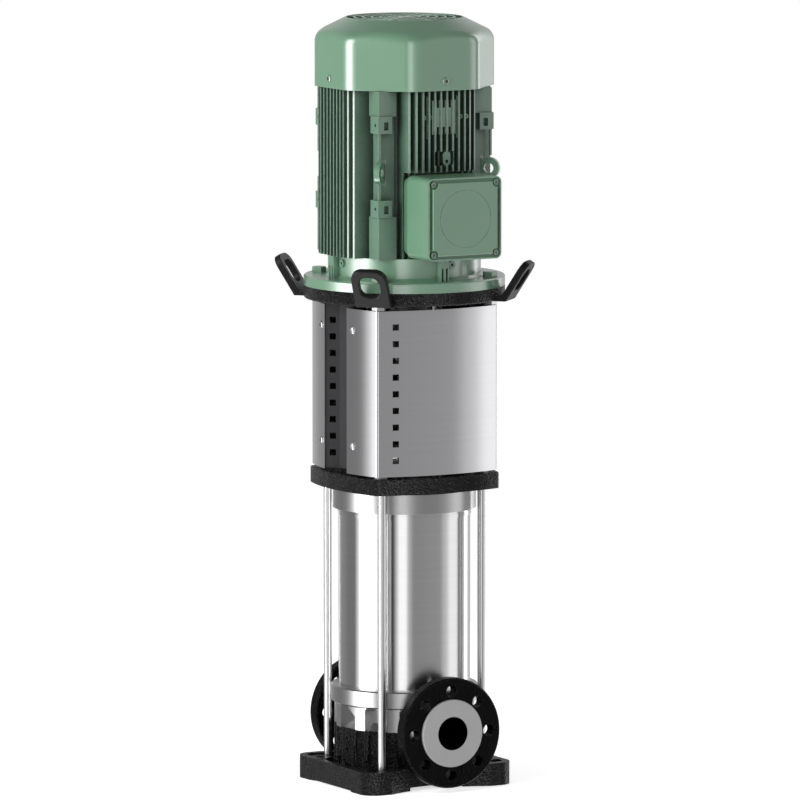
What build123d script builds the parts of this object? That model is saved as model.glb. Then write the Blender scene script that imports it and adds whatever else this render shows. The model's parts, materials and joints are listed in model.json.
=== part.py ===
from build123d import *
from math import cos, radians, sin, sqrt
import os

# A vertical multistage centrifugal pump with a flanged electric motor on top.
# The origin lies on the floor under the shaft, Z points up, the outlet faces +X
# and the inlet -X. All sizes are in millimetres, and heights start at the floor.

# Clearances
running_gap = 0.05     # radial gap of a turning fit
slip_gap = 0.1         # gap round a screw, a seal or a spigot
side_gap = 0.25        # axial gap beside a turning ring
open_gap = 0.6         # gap between pieces that turn past each other

# Pump foot, a cast plate with a waist between its corner feet
foot_length = 230
foot_width = 252
foot_height = 34
foot_corner = 24
foot_waist_depth = 20
foot_waist_span = 168
foot_rim = 11
foot_trough = 8
foot_skin = 9
foot_wall = 10
foot_pad_height = 5
foot_pad_gap = 90
foot_side_gap = 130
foot_side_lift = 2
foot_bolt_pitch_x = 130
foot_bolt_pitch_y = 215
foot_bolt_radius = 7
foot_boss_radius = 17
rod_boss_radius = 13
seat_ring_outer = 100
seat_ring_wall = 16
seat_ring_top = 87
flute_count = 26
flute_radius = 5
neck_notch_gap = 4

# Hydraulic body with the two nozzles in line
port_height = 90
port_reach = 150
bore_radius = 25
channel_radius = 24
neck_radius = 35
neck_root_radius = 46
neck_root_reach = 78
neck_straight_reach = 108
eye_radius = 33
chamber_wall = 8
chamber_depth = 22
body_foot_rise = 10
body_waist_radius = 84
riser_radius = 15
chamber_roof_drop = 6
chamber_roof_wall = 2
collar_radius = 110
collar_bottom = 122
collar_top = 148
collar_shoulder = 6
pillar_count = 12
pillar_width = 19
pillar_inset = 5
pillar_turn = 22
pillar_flare = 18
pillar_flare_drop = 15
pillar_lip = 4
spider_arm = 6
spider_arm_count = 3

# Loose flanges of the nozzles and the collars that hold them
flange_radius = 82.5
flange_thickness = 20
flange_circle = 62.5
flange_hole_count = 8
flange_hole_radius = 9
flange_edge = 2
flange_mark_width = 3
flange_mark_depth = 1.5
flange_mark_turn = 17
collar_ring_radius = 50.5
collar_ring_thickness = 11
spigot_radius = 30

# Outer sleeve and the head cover
sleeve_radius = 98.5
sleeve_wall = 2
sleeve_seat = 10
sleeve_bead = 1
sleeve_bead_low = 10
sleeve_bead_high = 4
head_radius = 107
head_bottom = 414
head_plate = 16
head_skirt = 30
head_edge = 3
skirt_wall = 4
skirt_window_count = 6
skirt_window_foot = 6
skirt_window_head = 5
skirt_window_width = 40
seal_groove_depth = 2.5
seal_groove_height = 3.5
body_groove_drop = 7
head_groove_drop = 9

# Stages
stage_count = 4
stage_radius = 84
stage_wall = 3
stage_floor = 3
impeller_radius = 68
impeller_neck_radius = 30
impeller_neck_wall = 4
impeller_height = 18
impeller_lift = 7
impeller_plate = 2
impeller_hub_radius = 15
impeller_hub_height = 27
blade_count = 6
blade_thickness = 2.5
blade_sweep = 70
blade_lag = 0.28
guide_plate_radius = 76
guide_plate_lift = 36
guide_vane_count = 7
guide_vane_sweep = 40

# Pump shaft, bush and mechanical seal
pump_shaft_radius = 11
pump_shaft_end = 116
bush_radius = 16
bush_height = 22
bush_housing_wall = 4
seal_seat_radius = 20
seal_seat_height = 9
seal_seat_drop = 6
seal_head_radius = 18
seal_head_height = 20
seal_hub_wall = 6
seal_chamber_gap = 6
seal_chamber_spare = 8
seal_head_rim = 3
seal_head_neck = 3
seal_head_shoulder = 9
seal_face_step = 2

# Tie rods
rod_offset = 84.5
rod_radius = 6
rod_depth = 16
nut_flat = 19
nut_height = 10

# Lantern between pump and motor
lantern_bottom = 446
lantern_plate = 24
lantern_half = 104
lantern_rise = 17
lantern_corner = 10
lantern_edge = 1.5
lantern_ring_edge = 2
lantern_opening = 58
lantern_ring_bottom = 728
lantern_ring_inner = 80
web_width = 44
web_thickness = 15
web_rib_width = 12
web_rib_depth = 12

# Guards round the coupling
guard_inset = 2.5
guard_wall = 1.5
guard_fold = 5
guard_gap_below = 3.5
guard_gap_above = 8
guard_opening_half = 34.5
guard_keep = 200
guard_screw_inset = 13.5
guard_screw_height_low = 515
guard_screw_height_high = 688
guard_screw_radius = 2.5
guard_screw_head = 4.5
guard_screw_head_height = 2.4
guard_screw_length = 9
vent_edge_gap = 1.5
vent_floor_half = 24.5
vent_floor_reach = 96
vent_flange_width = 24
vent_seat_gap = 0.4
vent_hole_count = 9
vent_hole_size = 9.3
vent_hole_pitch = 24.8
vent_hole_lateral = 74.5

# Motor flange, the same round size as the lantern ring
motor_flange_radius = 150
motor_flange_bottom = 747.5
motor_flange_thickness = 14.5
motor_spigot_inset = 35
motor_spigot_depth = 4
motor_flange_edge = 1.5
shield_inset = 36
shield_top = 795
shield_inner = 93
shield_root = 4
shaft_hole_gap = 3
flange_bolt_inset = 17.5
flange_bolt_radius = 6
flange_bolt_head_flat = 19
flange_bolt_head_height = 8
flange_bolt_edge = 0.8
flange_nut_height = 7
post_rise = 10
post_width = 15
post_rib_gap = 3
post_groove_depth = 4
post_groove_height = 19
post_boss_lateral = 17
post_boss_radius = 5.5
post_boss_hole = 2.2
post_boss_drop = 10
post_boss_proud = 2
post_boss_root = 6
post_hole_depth = 5

# Lifting lugs under the flange bolts
lug_width = 54
lug_thickness = 10
lug_length = 68
lug_lean = 32
lug_corner = 17
lug_foot_thickness = 6
lug_foot_inset = 36
lug_stand_off = 8
lug_hole_width = 32
lug_hole_length = 37
lug_hole_corner = 13
lug_hole_inset = 11
lug_edge = 1.2

# Finned stator frame
frame_bore = 90
frame_skin_radius = 98
fin_tip_radius = 128
fin_tip_reach = 122.5
fin_count = 12
fin_pitch = 10
fin_thickness = 2.6
rail_inner = 66
rail_outer = 95.5
rail_slot_depth = 7
rail_rib = 3
block_slot_offset = 3
block_rise = 2
block_inner = 74
block_height = 25
block_slot_width = 8
block_slot_depth = 5
block_slot_foot = 5
block_slot_head = 8
block_hole_radius = 2.5
block_hole_inset = 9
block_hole_depth = 6
block_low = 858
block_high_drop = 68
eye_drop = 126
eye_outer = 16
eye_inner = 7.5
eye_thickness = 8
eye_reach = 147
eye_root = 119
eye_notch_gap = 3
pad_width = 39
pad_height = 50
pad_middle_drop = 45
pad_drop = 1.5
pad_notch_width = 4
pad_notch_depth = 11
pad_fin_width = 6
pad_fin_height = 62
pad_fin_steps = 2.5
pad_boss_steps = (-3.2, -2.2, 2.9, 3.9)
pad_boss_radius = 3.4
pad_boss_hole = 1.2
earth_boss_width = 12
earth_boss_height = 21
earth_boss_drop = 106
earth_hole_radius = 2.7
earth_recess_width = 32
earth_recess_drop = 8
box_recess_gap = 3
box_neck_inset = 22

# Stator, rotor and bearings
core_bottom = 830
core_drop = 65
core_inner = 60
air_gap = 0.5
winding_radius = 84
winding_wall = 20
winding_reach = 24
winding_edge = 5
rotor_ring_inset = 4
rotor_ring_depth = 18
rotor_ring_height = 12
motor_shaft_radius = 19
motor_shaft_reach = 80
fan_seat_step = 2
key_width = 10
key_depth = 5
key_start = 5
key_stop = 12
rotor_shaft_radius = 24
bearing_width = 23
bearing_outer = 45
bearing_inner = 20
bearing_ring = 7
ball_count = 9
race_depth = 1.5
cage_height = 4
hub_wall = 9
hub_floor = 8
fan_shield_thickness = 10
fan_shield_radius = 97
fan_shield_dish = 4
fan_shield_hole_gap = 2
fan_shield_spigot = 4
fan_hub_foot = 2
fan_bearing_sink = 17
cover_lug_width = 22
cover_lug_root = 6
cover_lug_rise = 8

# Coupling, a split clamp on both shaft ends
coupling_radius = 42
coupling_length = 100
coupling_split = 1
coupling_overlap = 52
coupling_clearance = 8
shaft_end_gap = 4
clamp_screw_radius = 5
clamp_screw_offset = 31
clamp_screw_inset = 20
clamp_screw_seat = 20
clamp_screw_pocket = 9
clamp_screw_head = 8.5
clamp_screw_head_height = 8
clamp_screw_length = 38

# Fan and fan cover
fan_radius = 92
fan_hub_radius = 26
fan_drop = 66
fan_height = 34
fan_blade_count = 8
fan_blade_thickness = 4
fan_disc_thickness = 4
fan_blade_root = 4
fan_blade_slope = 22
fan_turn = 11
fan_hub_spare = 4
cover_top = 1146
cover_height = 101.5
cover_lap = 5.5
cover_across_corners = 137
cover_corner = 38
cover_wall = 2.5
cover_shoulder_drop = 24
cover_rounding = 20
grille_radius = 88
grille_edge = 2
grille_hub = 10
grille_rings = 6
grille_bar = 3.2
grille_spokes = 8
cover_screw_lift = 14
cover_screw_radius = 3
cover_screw_head = 5.5
cover_screw_head_height = 3
cover_screw_length = 14

# Terminal box
box_width = 123
box_height = 122
box_middle = 860
box_back = 104
box_front = 187
box_wall = 4
box_corner = 9
box_back_depth = 17
box_back_taper = 4
box_post_half = 8
cable_window_radius = 16
lid_thickness = 16
lid_rim = 2.5
lid_groove_width = 4.5
lid_groove_depth = 4
lid_raise = 2
lid_wall = 14
lid_front_wall = 5
lid_pocket_radius = 7
lid_pocket_depth = 3
lid_screw_inset = 9
lid_screw_radius = 4
lid_thread_radius = 2.5
lid_thread_depth = 14
lid_field_edge = 1
lid_screw_head_height = 3
lid_screw_length = 23
lid_circle_radius = 43
lid_circle_width = 1
lid_circle_depth = 0.6
board_width = 70
board_height = 30
board_depth = 14
board_lift = 20
terminal_pitch = 22
stud_lift = 15
stud_radius = 2.5
stud_length = 12
entry_radius = 14
entry_height = 9
entry_pitch = 40
entry_thread_step = 3
entry_flat = 24

# Service plugs at the back
plug_radius = 8
plug_head_flat = 17
plug_head_height = 8
plug_depth = 12
vent_plug_depth = 5
plug_boss_radius = 12
plug_boss_reach = 97
vent_plug_height = 431

# Places that follow from the sizes above
flange_front = port_reach - 4
collar_ring_back = port_reach - collar_ring_thickness
sleeve_bottom = collar_top - sleeve_seat
inner_deck = collar_top + 2
drain_height = seat_ring_top + plug_boss_radius + 1
drain_turn = pillar_turn + 2.5 * 360 / pillar_count - 90
sleeve_top = lantern_bottom - head_plate
stage_bottom = inner_deck
stage_top = sleeve_top - head_skirt
stage_pitch = (stage_top - stage_bottom) / stage_count
seal_face = lantern_bottom - seal_seat_drop
lantern_plate_top = lantern_bottom + lantern_plate
guard_half = lantern_half - guard_inset
guard_bottom = lantern_plate_top + guard_gap_below
guard_top = lantern_ring_bottom - guard_gap_above
guard_rise = lantern_rise
vent_edge = guard_opening_half + vent_edge_gap
vent_middle = (guard_bottom + guard_top) / 2
flange_top = motor_flange_bottom + motor_flange_thickness
flange_bolt_circle = motor_flange_radius - flange_bolt_inset
motor_spigot_radius = motor_flange_radius - motor_spigot_inset
shield_radius = motor_flange_radius - shield_inset
post_reach = shield_radius + post_rise
lug_foot_start = motor_flange_radius - lug_foot_inset
lug_base_reach = motor_flange_radius + lug_stand_off
motor_shaft_end = motor_flange_bottom - motor_shaft_reach
coupling_bottom = motor_shaft_end + coupling_overlap - coupling_length
pump_shaft_top = motor_shaft_end - shaft_end_gap
drive_bearing_bottom = motor_flange_bottom + hub_floor
cover_bottom = cover_top - cover_height
cover_shoulder = cover_top - cover_shoulder_drop
fan_bottom = cover_top - fan_drop
frame_top = cover_bottom + cover_lap
core_top = frame_top - core_drop
block_high = frame_top - block_high_drop
eye_height = frame_top - eye_drop
pad_middle = frame_top - pad_middle_drop
earth_boss_middle = frame_top - earth_boss_drop
fan_bearing_bottom = frame_top - fan_bearing_sink
fan_seat_radius = motor_shaft_radius - fan_seat_step
motor_shaft_top = fan_bottom + fan_height - fan_hub_spare
cover_flat = cover_across_corners * cos(radians(22.5))
quarter_turns = (0, 90, 180, 270)
corner_angles = (45, 135, 225, 315)

low = (Align.CENTER, Align.CENTER, Align.MIN)


# Helpers

def disc(radius, bottom, top):
    """Upright cylinder between two heights."""
    return Pos(0, 0, bottom) * Cylinder(radius, top - bottom, align=low)


def tube(outer, inner, bottom, top):
    """Upright tube between two heights."""
    return disc(outer, bottom, top) - disc(inner, bottom, top)


def turned(*points):
    """Solid of revolution about Z through points of radius and height."""
    return revolve(Plane.XZ * make_face(Polyline(*points, close=True)), Axis.Z)


def block(x, y, z):
    """Box between the pairs of limits along each axis."""
    size = [limits[1] - limits[0] for limits in (x, y, z)]
    middle = [(limits[0] + limits[1]) / 2 for limits in (x, y, z)]
    return Pos(*middle) * Box(*size)


def along_x(shape):
    """Lay an upright shape down so that its Z runs along +X."""
    return Rot(0, 90, 0) * shape


def spread(shape, angles):
    """Copies of a shape turned about Z."""
    return [Rot(0, 0, angle) * shape for angle in angles]


def evenly(count, start=0):
    """Angles that share a full turn."""
    return [start + 360 * i / count for i in range(count)]


def hexagon(flat, bottom, top):
    """Upright hexagonal prism measured across its flats."""
    return Pos(0, 0, bottom) * extrude(RegularPolygon(flat / 2, 6, major_radius=False), top - bottom)


def screw(radius, head_radius, head_height, length):
    """Socket screw whose head stands on Z = 0 and whose shank goes down."""
    head = disc(head_radius, 0, head_height)
    socket = hexagon(head_radius, head_height / 2, head_height)
    return head + disc(radius, -length, 0) - socket


def bulged_square(half, rise, corner):
    """Square whose sides bow outwards by rise, with rounded corners."""
    arc = ThreePointArc((half, -half), (half + rise, 0), (half, half))
    outline = make_face([Rot(0, 0, turn) * arc for turn in quarter_turns])
    return fillet(outline.vertices(), corner)


def one(shape):
    """The shape as a plain part, whatever the boolean returned."""
    return Part() + shape


# Pump foot and hydraulic body

def foot_outline(inset=0):
    """Plan of the foot: a rounded rectangle with a waist on the port sides."""
    length = foot_length - 2 * inset
    width = foot_width - 2 * inset
    half_span = foot_waist_span / 2 + inset
    waist_radius = (half_span ** 2 + foot_waist_depth ** 2) / (2 * foot_waist_depth)
    plan = RectangleRounded(length, width, foot_corner - inset)
    waist = Pos(length / 2 - foot_waist_depth + waist_radius, 0) * Circle(waist_radius)
    return plan - waist - Rot(0, 0, 180) * waist


def foot_bolt_places():
    """Middles of the four foundation bolt holes."""
    return GridLocations(foot_bolt_pitch_x, foot_bolt_pitch_y, 2, 2)


def rod_places():
    """Axes of the four tie rods."""
    return GridLocations(2 * rod_offset, 2 * rod_offset, 2, 2)


def seat_ring():
    """Fluted ring on the foot that carries the pump body."""
    flute_bottom = foot_height - foot_trough - 1
    ring = tube(seat_ring_outer, seat_ring_outer - seat_ring_wall, foot_pad_height, seat_ring_top)
    flute = Pos(seat_ring_outer, 0, 0) * disc(flute_radius, flute_bottom, seat_ring_top)
    ring += spread(flute, evenly(flute_count, 180 / flute_count))
    return ring & extrude(foot_outline(), seat_ring_top)


def neck_notch():
    """Space for the inlet or outlet neck where it crosses the seat ring."""
    floor = foot_height - foot_trough
    neck = Pos(0, 0, port_height) * along_x(disc(neck_root_radius + neck_notch_gap, 0, foot_length))
    return neck & block((0, foot_length), (-foot_width, foot_width), (floor, port_height))


def base_foot():
    trough_floor = foot_height - foot_trough
    plate = extrude(foot_outline(), foot_height)
    bosses = [place * disc(foot_boss_radius, 0, foot_height) for place in foot_bolt_places()]
    trough = Pos(0, 0, trough_floor) * extrude(foot_outline(foot_rim), foot_trough)
    hollow = extrude(foot_outline(foot_wall), trough_floor - foot_skin)
    rod_bosses = [place * disc(rod_boss_radius, foot_pad_height, trough_floor) for place in rod_places()]
    shell = plate - trough - hollow + bosses + rod_bosses + seat_ring()
    holes = [place * disc(foot_bolt_radius, -1, foot_height + 1) for place in foot_bolt_places()]
    rod_hole = disc(rod_radius + slip_gap, trough_floor - rod_depth, foot_height)
    rods = [place * rod_hole for place in rod_places()]
    half_gap = foot_pad_gap / 2
    end_gap = block((-foot_length / 2, foot_length / 2), (-half_gap, half_gap), (0, foot_pad_height))
    half_gap = foot_side_gap / 2
    side_lift = block((-half_gap, half_gap), (-foot_width / 2, foot_width / 2), (0, foot_side_lift)) - bosses
    return shell - spread(neck_notch(), (0, 180)) - holes - rods - end_gap - side_lift


def body_pillar():
    """One pillar of the arcade under the collar, flared into it on one side."""
    half = pillar_width / 2
    foot = seat_ring_top
    top = collar_bottom
    outline = Polyline((-half, foot), (half, foot), (half, top - pillar_lip), (half + pillar_lip, top),
                       (-half - pillar_flare, top), (-half, top - pillar_flare_drop), close=True)
    slab = extrude(Plane.YZ * make_face(outline), collar_radius)
    return slab & tube(collar_radius - pillar_inset, seat_ring_outer - seat_ring_wall, foot, top)


def nozzle():
    """Conical neck that ends in the spigot for the collar ring."""
    cone = Solid.make_cone(neck_root_radius, neck_radius, neck_straight_reach - neck_root_reach)
    neck = disc(neck_root_radius, 0, neck_root_reach) + Pos(0, 0, neck_root_reach) * cone
    neck += disc(neck_radius, neck_straight_reach, collar_ring_back)
    neck += disc(spigot_radius, collar_ring_back, port_reach - 1)
    return Pos(0, 0, port_height) * along_x(neck)


def pump_body():
    floor = collar_top - chamber_depth
    ledge = sleeve_radius + slip_gap
    chamber_outer = sleeve_radius - sleeve_wall - 1
    roof = collar_top - chamber_roof_drop
    port_end = eye_radius + 2 * chamber_wall
    core = turned((0, seat_ring_top), (seat_ring_outer, seat_ring_top),
                  (body_waist_radius, seat_ring_top + body_foot_rise),
                  (body_waist_radius, collar_bottom - collar_shoulder),
                  (collar_radius - collar_shoulder, collar_bottom - 2),
                  (collar_radius, collar_bottom + 2), (collar_radius, collar_top - 2),
                  (collar_radius - 2, collar_top), (ledge, collar_top), (ledge, sleeve_bottom),
                  (chamber_outer, sleeve_bottom), (chamber_outer, roof),
                  (stage_radius, roof), (stage_radius, inner_deck), (0, inner_deck))
    core += spread(body_pillar(), evenly(pillar_count, pillar_turn))
    core += spread(nozzle(), (0, 180))
    core -= tube(chamber_outer, port_end, floor, roof - chamber_roof_wall)
    core -= tube(chamber_outer, stage_radius, floor, collar_top)
    groove_low = collar_top - body_groove_drop
    core -= tube(ledge + seal_groove_depth, ledge - 1, groove_low, groove_low + seal_groove_height)
    outlet = along_x(disc(bore_radius, port_end, port_reach + 1))
    inlet = Rot(0, 0, 180) * outlet + along_x(disc(channel_radius, -port_end - 1, 0)) + Sphere(channel_radius)
    core -= Pos(0, 0, port_height) * inlet
    core -= Pos(0, 0, port_height) * outlet
    core -= disc(eye_radius, port_height, inner_deck)
    core -= Pos(port_end + riser_radius + 1, 0, 0) * disc(riser_radius, port_height, floor + 1)
    arm = block((bush_radius, eye_radius + 1), (-spider_arm / 2, spider_arm / 2),
                (inner_deck - bush_height, inner_deck))
    core += spread(arm, evenly(spider_arm_count, 60))
    core += tube(bush_radius + bush_housing_wall, bush_radius + slip_gap,
                 inner_deck - bush_height, inner_deck)
    drain_axis = drain_place()
    core += drain_axis * disc(plug_boss_radius, body_waist_radius - chamber_wall, plug_boss_reach)
    return core - drain_axis * disc(plug_radius, plug_boss_reach - plug_depth - 1, plug_boss_reach + 1)


def nozzle_collar():
    """Ring on the end of the neck that keeps the loose flange from coming off."""
    ring = turned((spigot_radius + slip_gap, collar_ring_back), (collar_ring_radius, collar_ring_back),
                  (collar_ring_radius, port_reach - 1), (collar_ring_radius - 1, port_reach),
                  (bore_radius, port_reach), (bore_radius, port_reach - 1),
                  (spigot_radius + slip_gap, port_reach - 1))
    return Pos(0, 0, port_height) * along_x(ring)


def loose_flange():
    back = flange_front - flange_thickness
    recess_floor = collar_ring_back - side_gap
    bore = neck_radius + running_gap
    recess = collar_ring_radius + open_gap
    profile = turned((bore, back), (flange_radius - flange_edge, back), (flange_radius, back + flange_edge),
                     (flange_radius, flange_front - flange_edge), (flange_radius - flange_edge, flange_front),
                     (recess, flange_front), (recess, recess_floor), (bore, recess_floor))
    hole = Pos(flange_circle, 0, 0) * disc(flange_hole_radius, back - 1, flange_front + 1)
    half = flange_mark_width / 2
    mark = block((recess, flange_radius + 1), (-half, half),
                 (flange_front - flange_mark_depth, flange_front + 1))
    flange = profile - spread(hole, evenly(flange_hole_count)) - Rot(0, 0, flange_mark_turn) * mark
    return Pos(0, 0, port_height) * along_x(flange)


def service_plug(depth):
    return disc(plug_radius - slip_gap, -depth, 0) + hexagon(plug_head_flat, 0, plug_head_height)


def drain_place():
    """Axis of the drain plug, which points out between two pillars at the back."""
    return Rot(0, 0, drain_turn) * Pos(0, 0, drain_height) * Rot(-90, 0, 0)


def service_plugs():
    drain = drain_place() * Pos(0, 0, plug_boss_reach) * service_plug(plug_depth)
    vent = Pos(0, head_radius, vent_plug_height) * Rot(-90, 0, 0) * service_plug(vent_plug_depth)
    return [drain, vent]


# Sleeve, head and stages

def outer_sleeve():
    sleeve = tube(sleeve_radius, sleeve_radius - sleeve_wall, sleeve_bottom, sleeve_top)
    bead = tube(sleeve_radius + sleeve_bead, sleeve_radius - 1,
                head_bottom - sleeve_bead_low, head_bottom - sleeve_bead_high)
    return sleeve + bead


def head_cover():
    plate_bottom = sleeve_top
    seat_bore = seal_seat_radius + slip_gap
    seat_bottom = seal_face - seal_seat_height
    hub_bore = seal_head_radius + seal_chamber_gap
    hub_bottom = plate_bottom - seal_head_height - seal_chamber_spare
    cover = turned((sleeve_radius + slip_gap, head_bottom), (head_radius, head_bottom),
                   (head_radius, lantern_bottom - head_edge), (head_radius - head_edge, lantern_bottom),
                   (pump_shaft_radius + open_gap, lantern_bottom),
                   (pump_shaft_radius + open_gap, seal_face), (seat_bore, seal_face),
                   (seat_bore, seat_bottom), (hub_bore, seat_bottom),
                   (hub_bore, hub_bottom), (hub_bore + seal_hub_wall, hub_bottom),
                   (hub_bore + seal_hub_wall, plate_bottom), (sleeve_radius + slip_gap, plate_bottom))
    skirt = tube(stage_radius, stage_radius - skirt_wall, stage_top, plate_bottom)
    window = block((0, stage_radius + 2), (-skirt_window_width / 2, skirt_window_width / 2),
                   (stage_top + skirt_window_foot, plate_bottom - skirt_window_head))
    cover += skirt - spread(window, evenly(skirt_window_count))
    groove_low = plate_bottom - head_groove_drop
    cover -= tube(sleeve_radius + slip_gap + seal_groove_depth, sleeve_radius, groove_low,
                  groove_low + seal_groove_height)
    vent_axis = Pos(0, 0, vent_plug_height) * Rot(-90, 0, 0)
    cover -= vent_axis * disc(plug_head_flat, head_radius, head_radius + 1)
    return cover - vent_axis * disc(plug_radius, head_radius - vent_plug_depth - 0.5, head_radius + 1)


def body_seals():
    outer = sleeve_radius + seal_groove_depth
    inner = sleeve_radius + slip_gap / 2
    grooves = (collar_top - body_groove_drop, sleeve_top - head_groove_drop)
    return [tube(outer, inner, groove + slip_gap, groove + seal_groove_height - slip_gap)
            for groove in grooves]


def curved_blade(inner, outer, thickness, height, sweep):
    """Backward curved blade as a bent wall between two radii."""
    start = Vector(inner, 0)
    end = Vector(outer * cos(radians(sweep)), outer * sin(radians(sweep)))
    middle_radius = (inner + outer) / 2
    middle_turn = radians(sweep * blade_lag)
    middle = Vector(middle_radius * cos(middle_turn), middle_radius * sin(middle_turn))
    path = ThreePointArc(start, middle, end)
    return extrude(trace(path, thickness), height)


def impeller(bottom):
    neck_low = bottom + 1
    front_low = bottom + impeller_lift
    back_low = front_low + impeller_height - impeller_plate
    eye = impeller_neck_radius - impeller_neck_wall
    body = tube(impeller_neck_radius, eye, neck_low, front_low)
    body += tube(impeller_radius, eye, front_low, front_low + impeller_plate)
    body += disc(impeller_radius, back_low, back_low + impeller_plate)
    body += disc(impeller_hub_radius, front_low + 2, front_low + 2 + impeller_hub_height)
    blade = curved_blade(impeller_hub_radius - 1, impeller_radius - 1, blade_thickness,
                         impeller_height - 2 * impeller_plate, blade_sweep)
    body += spread(Pos(0, 0, front_low + impeller_plate) * blade, evenly(blade_count))
    return body - disc(pump_shaft_radius + slip_gap / 2, bottom, bottom + stage_pitch)


def stage_casing(bottom):
    top = bottom + stage_pitch
    plate_low = bottom + guide_plate_lift
    casing = tube(stage_radius, stage_radius - stage_wall, bottom, top)
    casing += tube(stage_radius, impeller_neck_radius + open_gap, bottom, bottom + stage_floor)
    casing += tube(guide_plate_radius, impeller_hub_radius + open_gap, plate_low, plate_low + stage_floor)
    vane = curved_blade(impeller_neck_radius + 6, stage_radius - stage_wall / 2, blade_thickness,
                        top - plate_low, guide_vane_sweep)
    casing += spread(Pos(0, 0, plate_low) * vane, evenly(guide_vane_count))
    return casing


def pump_shaft():
    shaft = disc(pump_shaft_radius, pump_shaft_end, pump_shaft_top)
    return chamfer(shaft.edges().sort_by(Axis.Z)[-1], 1.5)


def lower_bush():
    return tube(bush_radius, pump_shaft_radius + running_gap, inner_deck - bush_height, inner_deck)


def seal_seat():
    return tube(seal_seat_radius, pump_shaft_radius + open_gap, seal_face - seal_seat_height, seal_face)


def seal_head():
    """Turning half of the mechanical seal: carbon ring, bellows and spring."""
    face = seal_face - seal_seat_height - slip_gap
    foot = face - seal_head_height
    bore = pump_shaft_radius + slip_gap / 2
    waist = seal_head_radius - seal_head_neck
    return turned((bore, foot), (seal_head_radius, foot), (seal_head_radius, foot + seal_head_rim),
                  (waist, foot + seal_head_rim), (waist, face - seal_head_shoulder),
                  (seal_head_radius, face - seal_head_shoulder), (seal_head_radius, face - seal_head_rim),
                  (seal_head_radius - seal_face_step, face - seal_head_rim),
                  (seal_head_radius - seal_face_step, face), (bore, face))


def tie_rod(angle):
    bottom = foot_height - foot_trough - rod_depth
    top = lantern_plate_top + nut_height + 3
    rod = disc(rod_radius, bottom, top)
    rod = chamfer(rod.edges().sort_by(Axis.Z)[-1], 1)
    return Rot(0, 0, angle) * Pos(rod_offset * sqrt(2), 0, 0) * rod


def tie_rod_nuts():
    nut = hexagon(nut_flat, lantern_plate_top, lantern_plate_top + nut_height)
    nut -= disc(rod_radius + slip_gap, lantern_plate_top, lantern_plate_top + nut_height)
    return spread(Pos(rod_offset * sqrt(2), 0, 0) * nut, corner_angles)


# Lantern, guards and lifting lugs

def lantern():
    plan = bulged_square(lantern_half, lantern_rise, lantern_corner)
    plate = Pos(0, 0, lantern_bottom) * extrude(plan, lantern_plate)
    plate = chamfer(plate.edges().group_by(Axis.Z)[-1], lantern_edge)
    plate -= disc(lantern_opening, lantern_bottom, lantern_plate_top)
    ring = turned((lantern_ring_inner, lantern_ring_bottom),
                  (motor_flange_radius - lantern_ring_edge, lantern_ring_bottom),
                  (motor_flange_radius, lantern_ring_bottom + lantern_ring_edge),
                  (motor_flange_radius, motor_flange_bottom),
                  (motor_spigot_radius, motor_flange_bottom),
                  (motor_spigot_radius, motor_flange_bottom - motor_spigot_depth),
                  (lantern_ring_inner, motor_flange_bottom - motor_spigot_depth))
    web_face = vent_floor_reach - guard_wall / 2
    web = block((-web_width / 2, web_width / 2), (-web_face, web_thickness - web_face),
                (lantern_plate_top - 1, lantern_ring_bottom + 1))
    rib_root = web_thickness - web_face
    rib = block((-web_rib_width / 2, web_rib_width / 2), (rib_root - 1, rib_root + web_rib_depth),
                (lantern_plate_top - 1, lantern_ring_bottom + 1))
    body = plate + ring + spread(web + rib, (0, 180))
    body -= disc(coupling_radius + coupling_clearance, lantern_bottom, motor_flange_bottom)
    rod_hole = Pos(rod_offset * sqrt(2), 0, 0) * disc(
        rod_radius + slip_gap, lantern_bottom - 1, lantern_plate_top + 1)
    bolt_hole = Pos(flange_bolt_circle, 0, 0) * disc(
        flange_bolt_radius + slip_gap, lantern_ring_bottom - 1, motor_flange_bottom + 1)
    pocket_half = lug_width / 2 + slip_gap
    pocket = block((lug_foot_start - slip_gap, motor_flange_radius + 2), (-pocket_half, pocket_half),
                   (lantern_ring_bottom - 1, lantern_ring_bottom + lug_foot_thickness))
    return body - spread(rod_hole + bolt_hole + pocket, corner_angles)


def lifting_lug(angle):
    """Plate with an eye that leans outwards from a foot under the flange bolt."""
    plan = Pos(0, lug_length / 2) * RectangleRounded(lug_width, lug_length, lug_corner)
    plan += Pos(0, lug_length / 4) * Rectangle(lug_width, lug_length / 2)
    eye_middle = lug_length - lug_hole_inset - lug_hole_length / 2
    plan -= Pos(0, eye_middle) * RectangleRounded(lug_hole_width, lug_hole_length, lug_hole_corner)
    plate = extrude(Plane.YZ * plan, lug_thickness / 2, both=True)
    plate = chamfer(plate.faces().filter_by(Axis.X).edges(), lug_edge)
    leaning = Pos(lug_base_reach, 0, lantern_ring_bottom) * Rot(0, lug_lean, 0) * plate
    foot_half = lug_width / 2 - slip_gap
    foot = block((lug_foot_start, lug_base_reach), (-foot_half, foot_half),
                 (lantern_ring_bottom, lantern_ring_bottom + lug_foot_thickness - slip_gap))
    above = block((0, 2 * lug_base_reach), (-lug_width, lug_width),
                  (lantern_ring_bottom, flange_top + lug_length))
    body = (leaning & above) + foot
    body -= Pos(flange_bolt_circle, 0, 0) * disc(
        flange_bolt_radius + slip_gap, lantern_ring_bottom - 1, motor_flange_bottom)
    return Rot(0, 0, angle) * body


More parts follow.
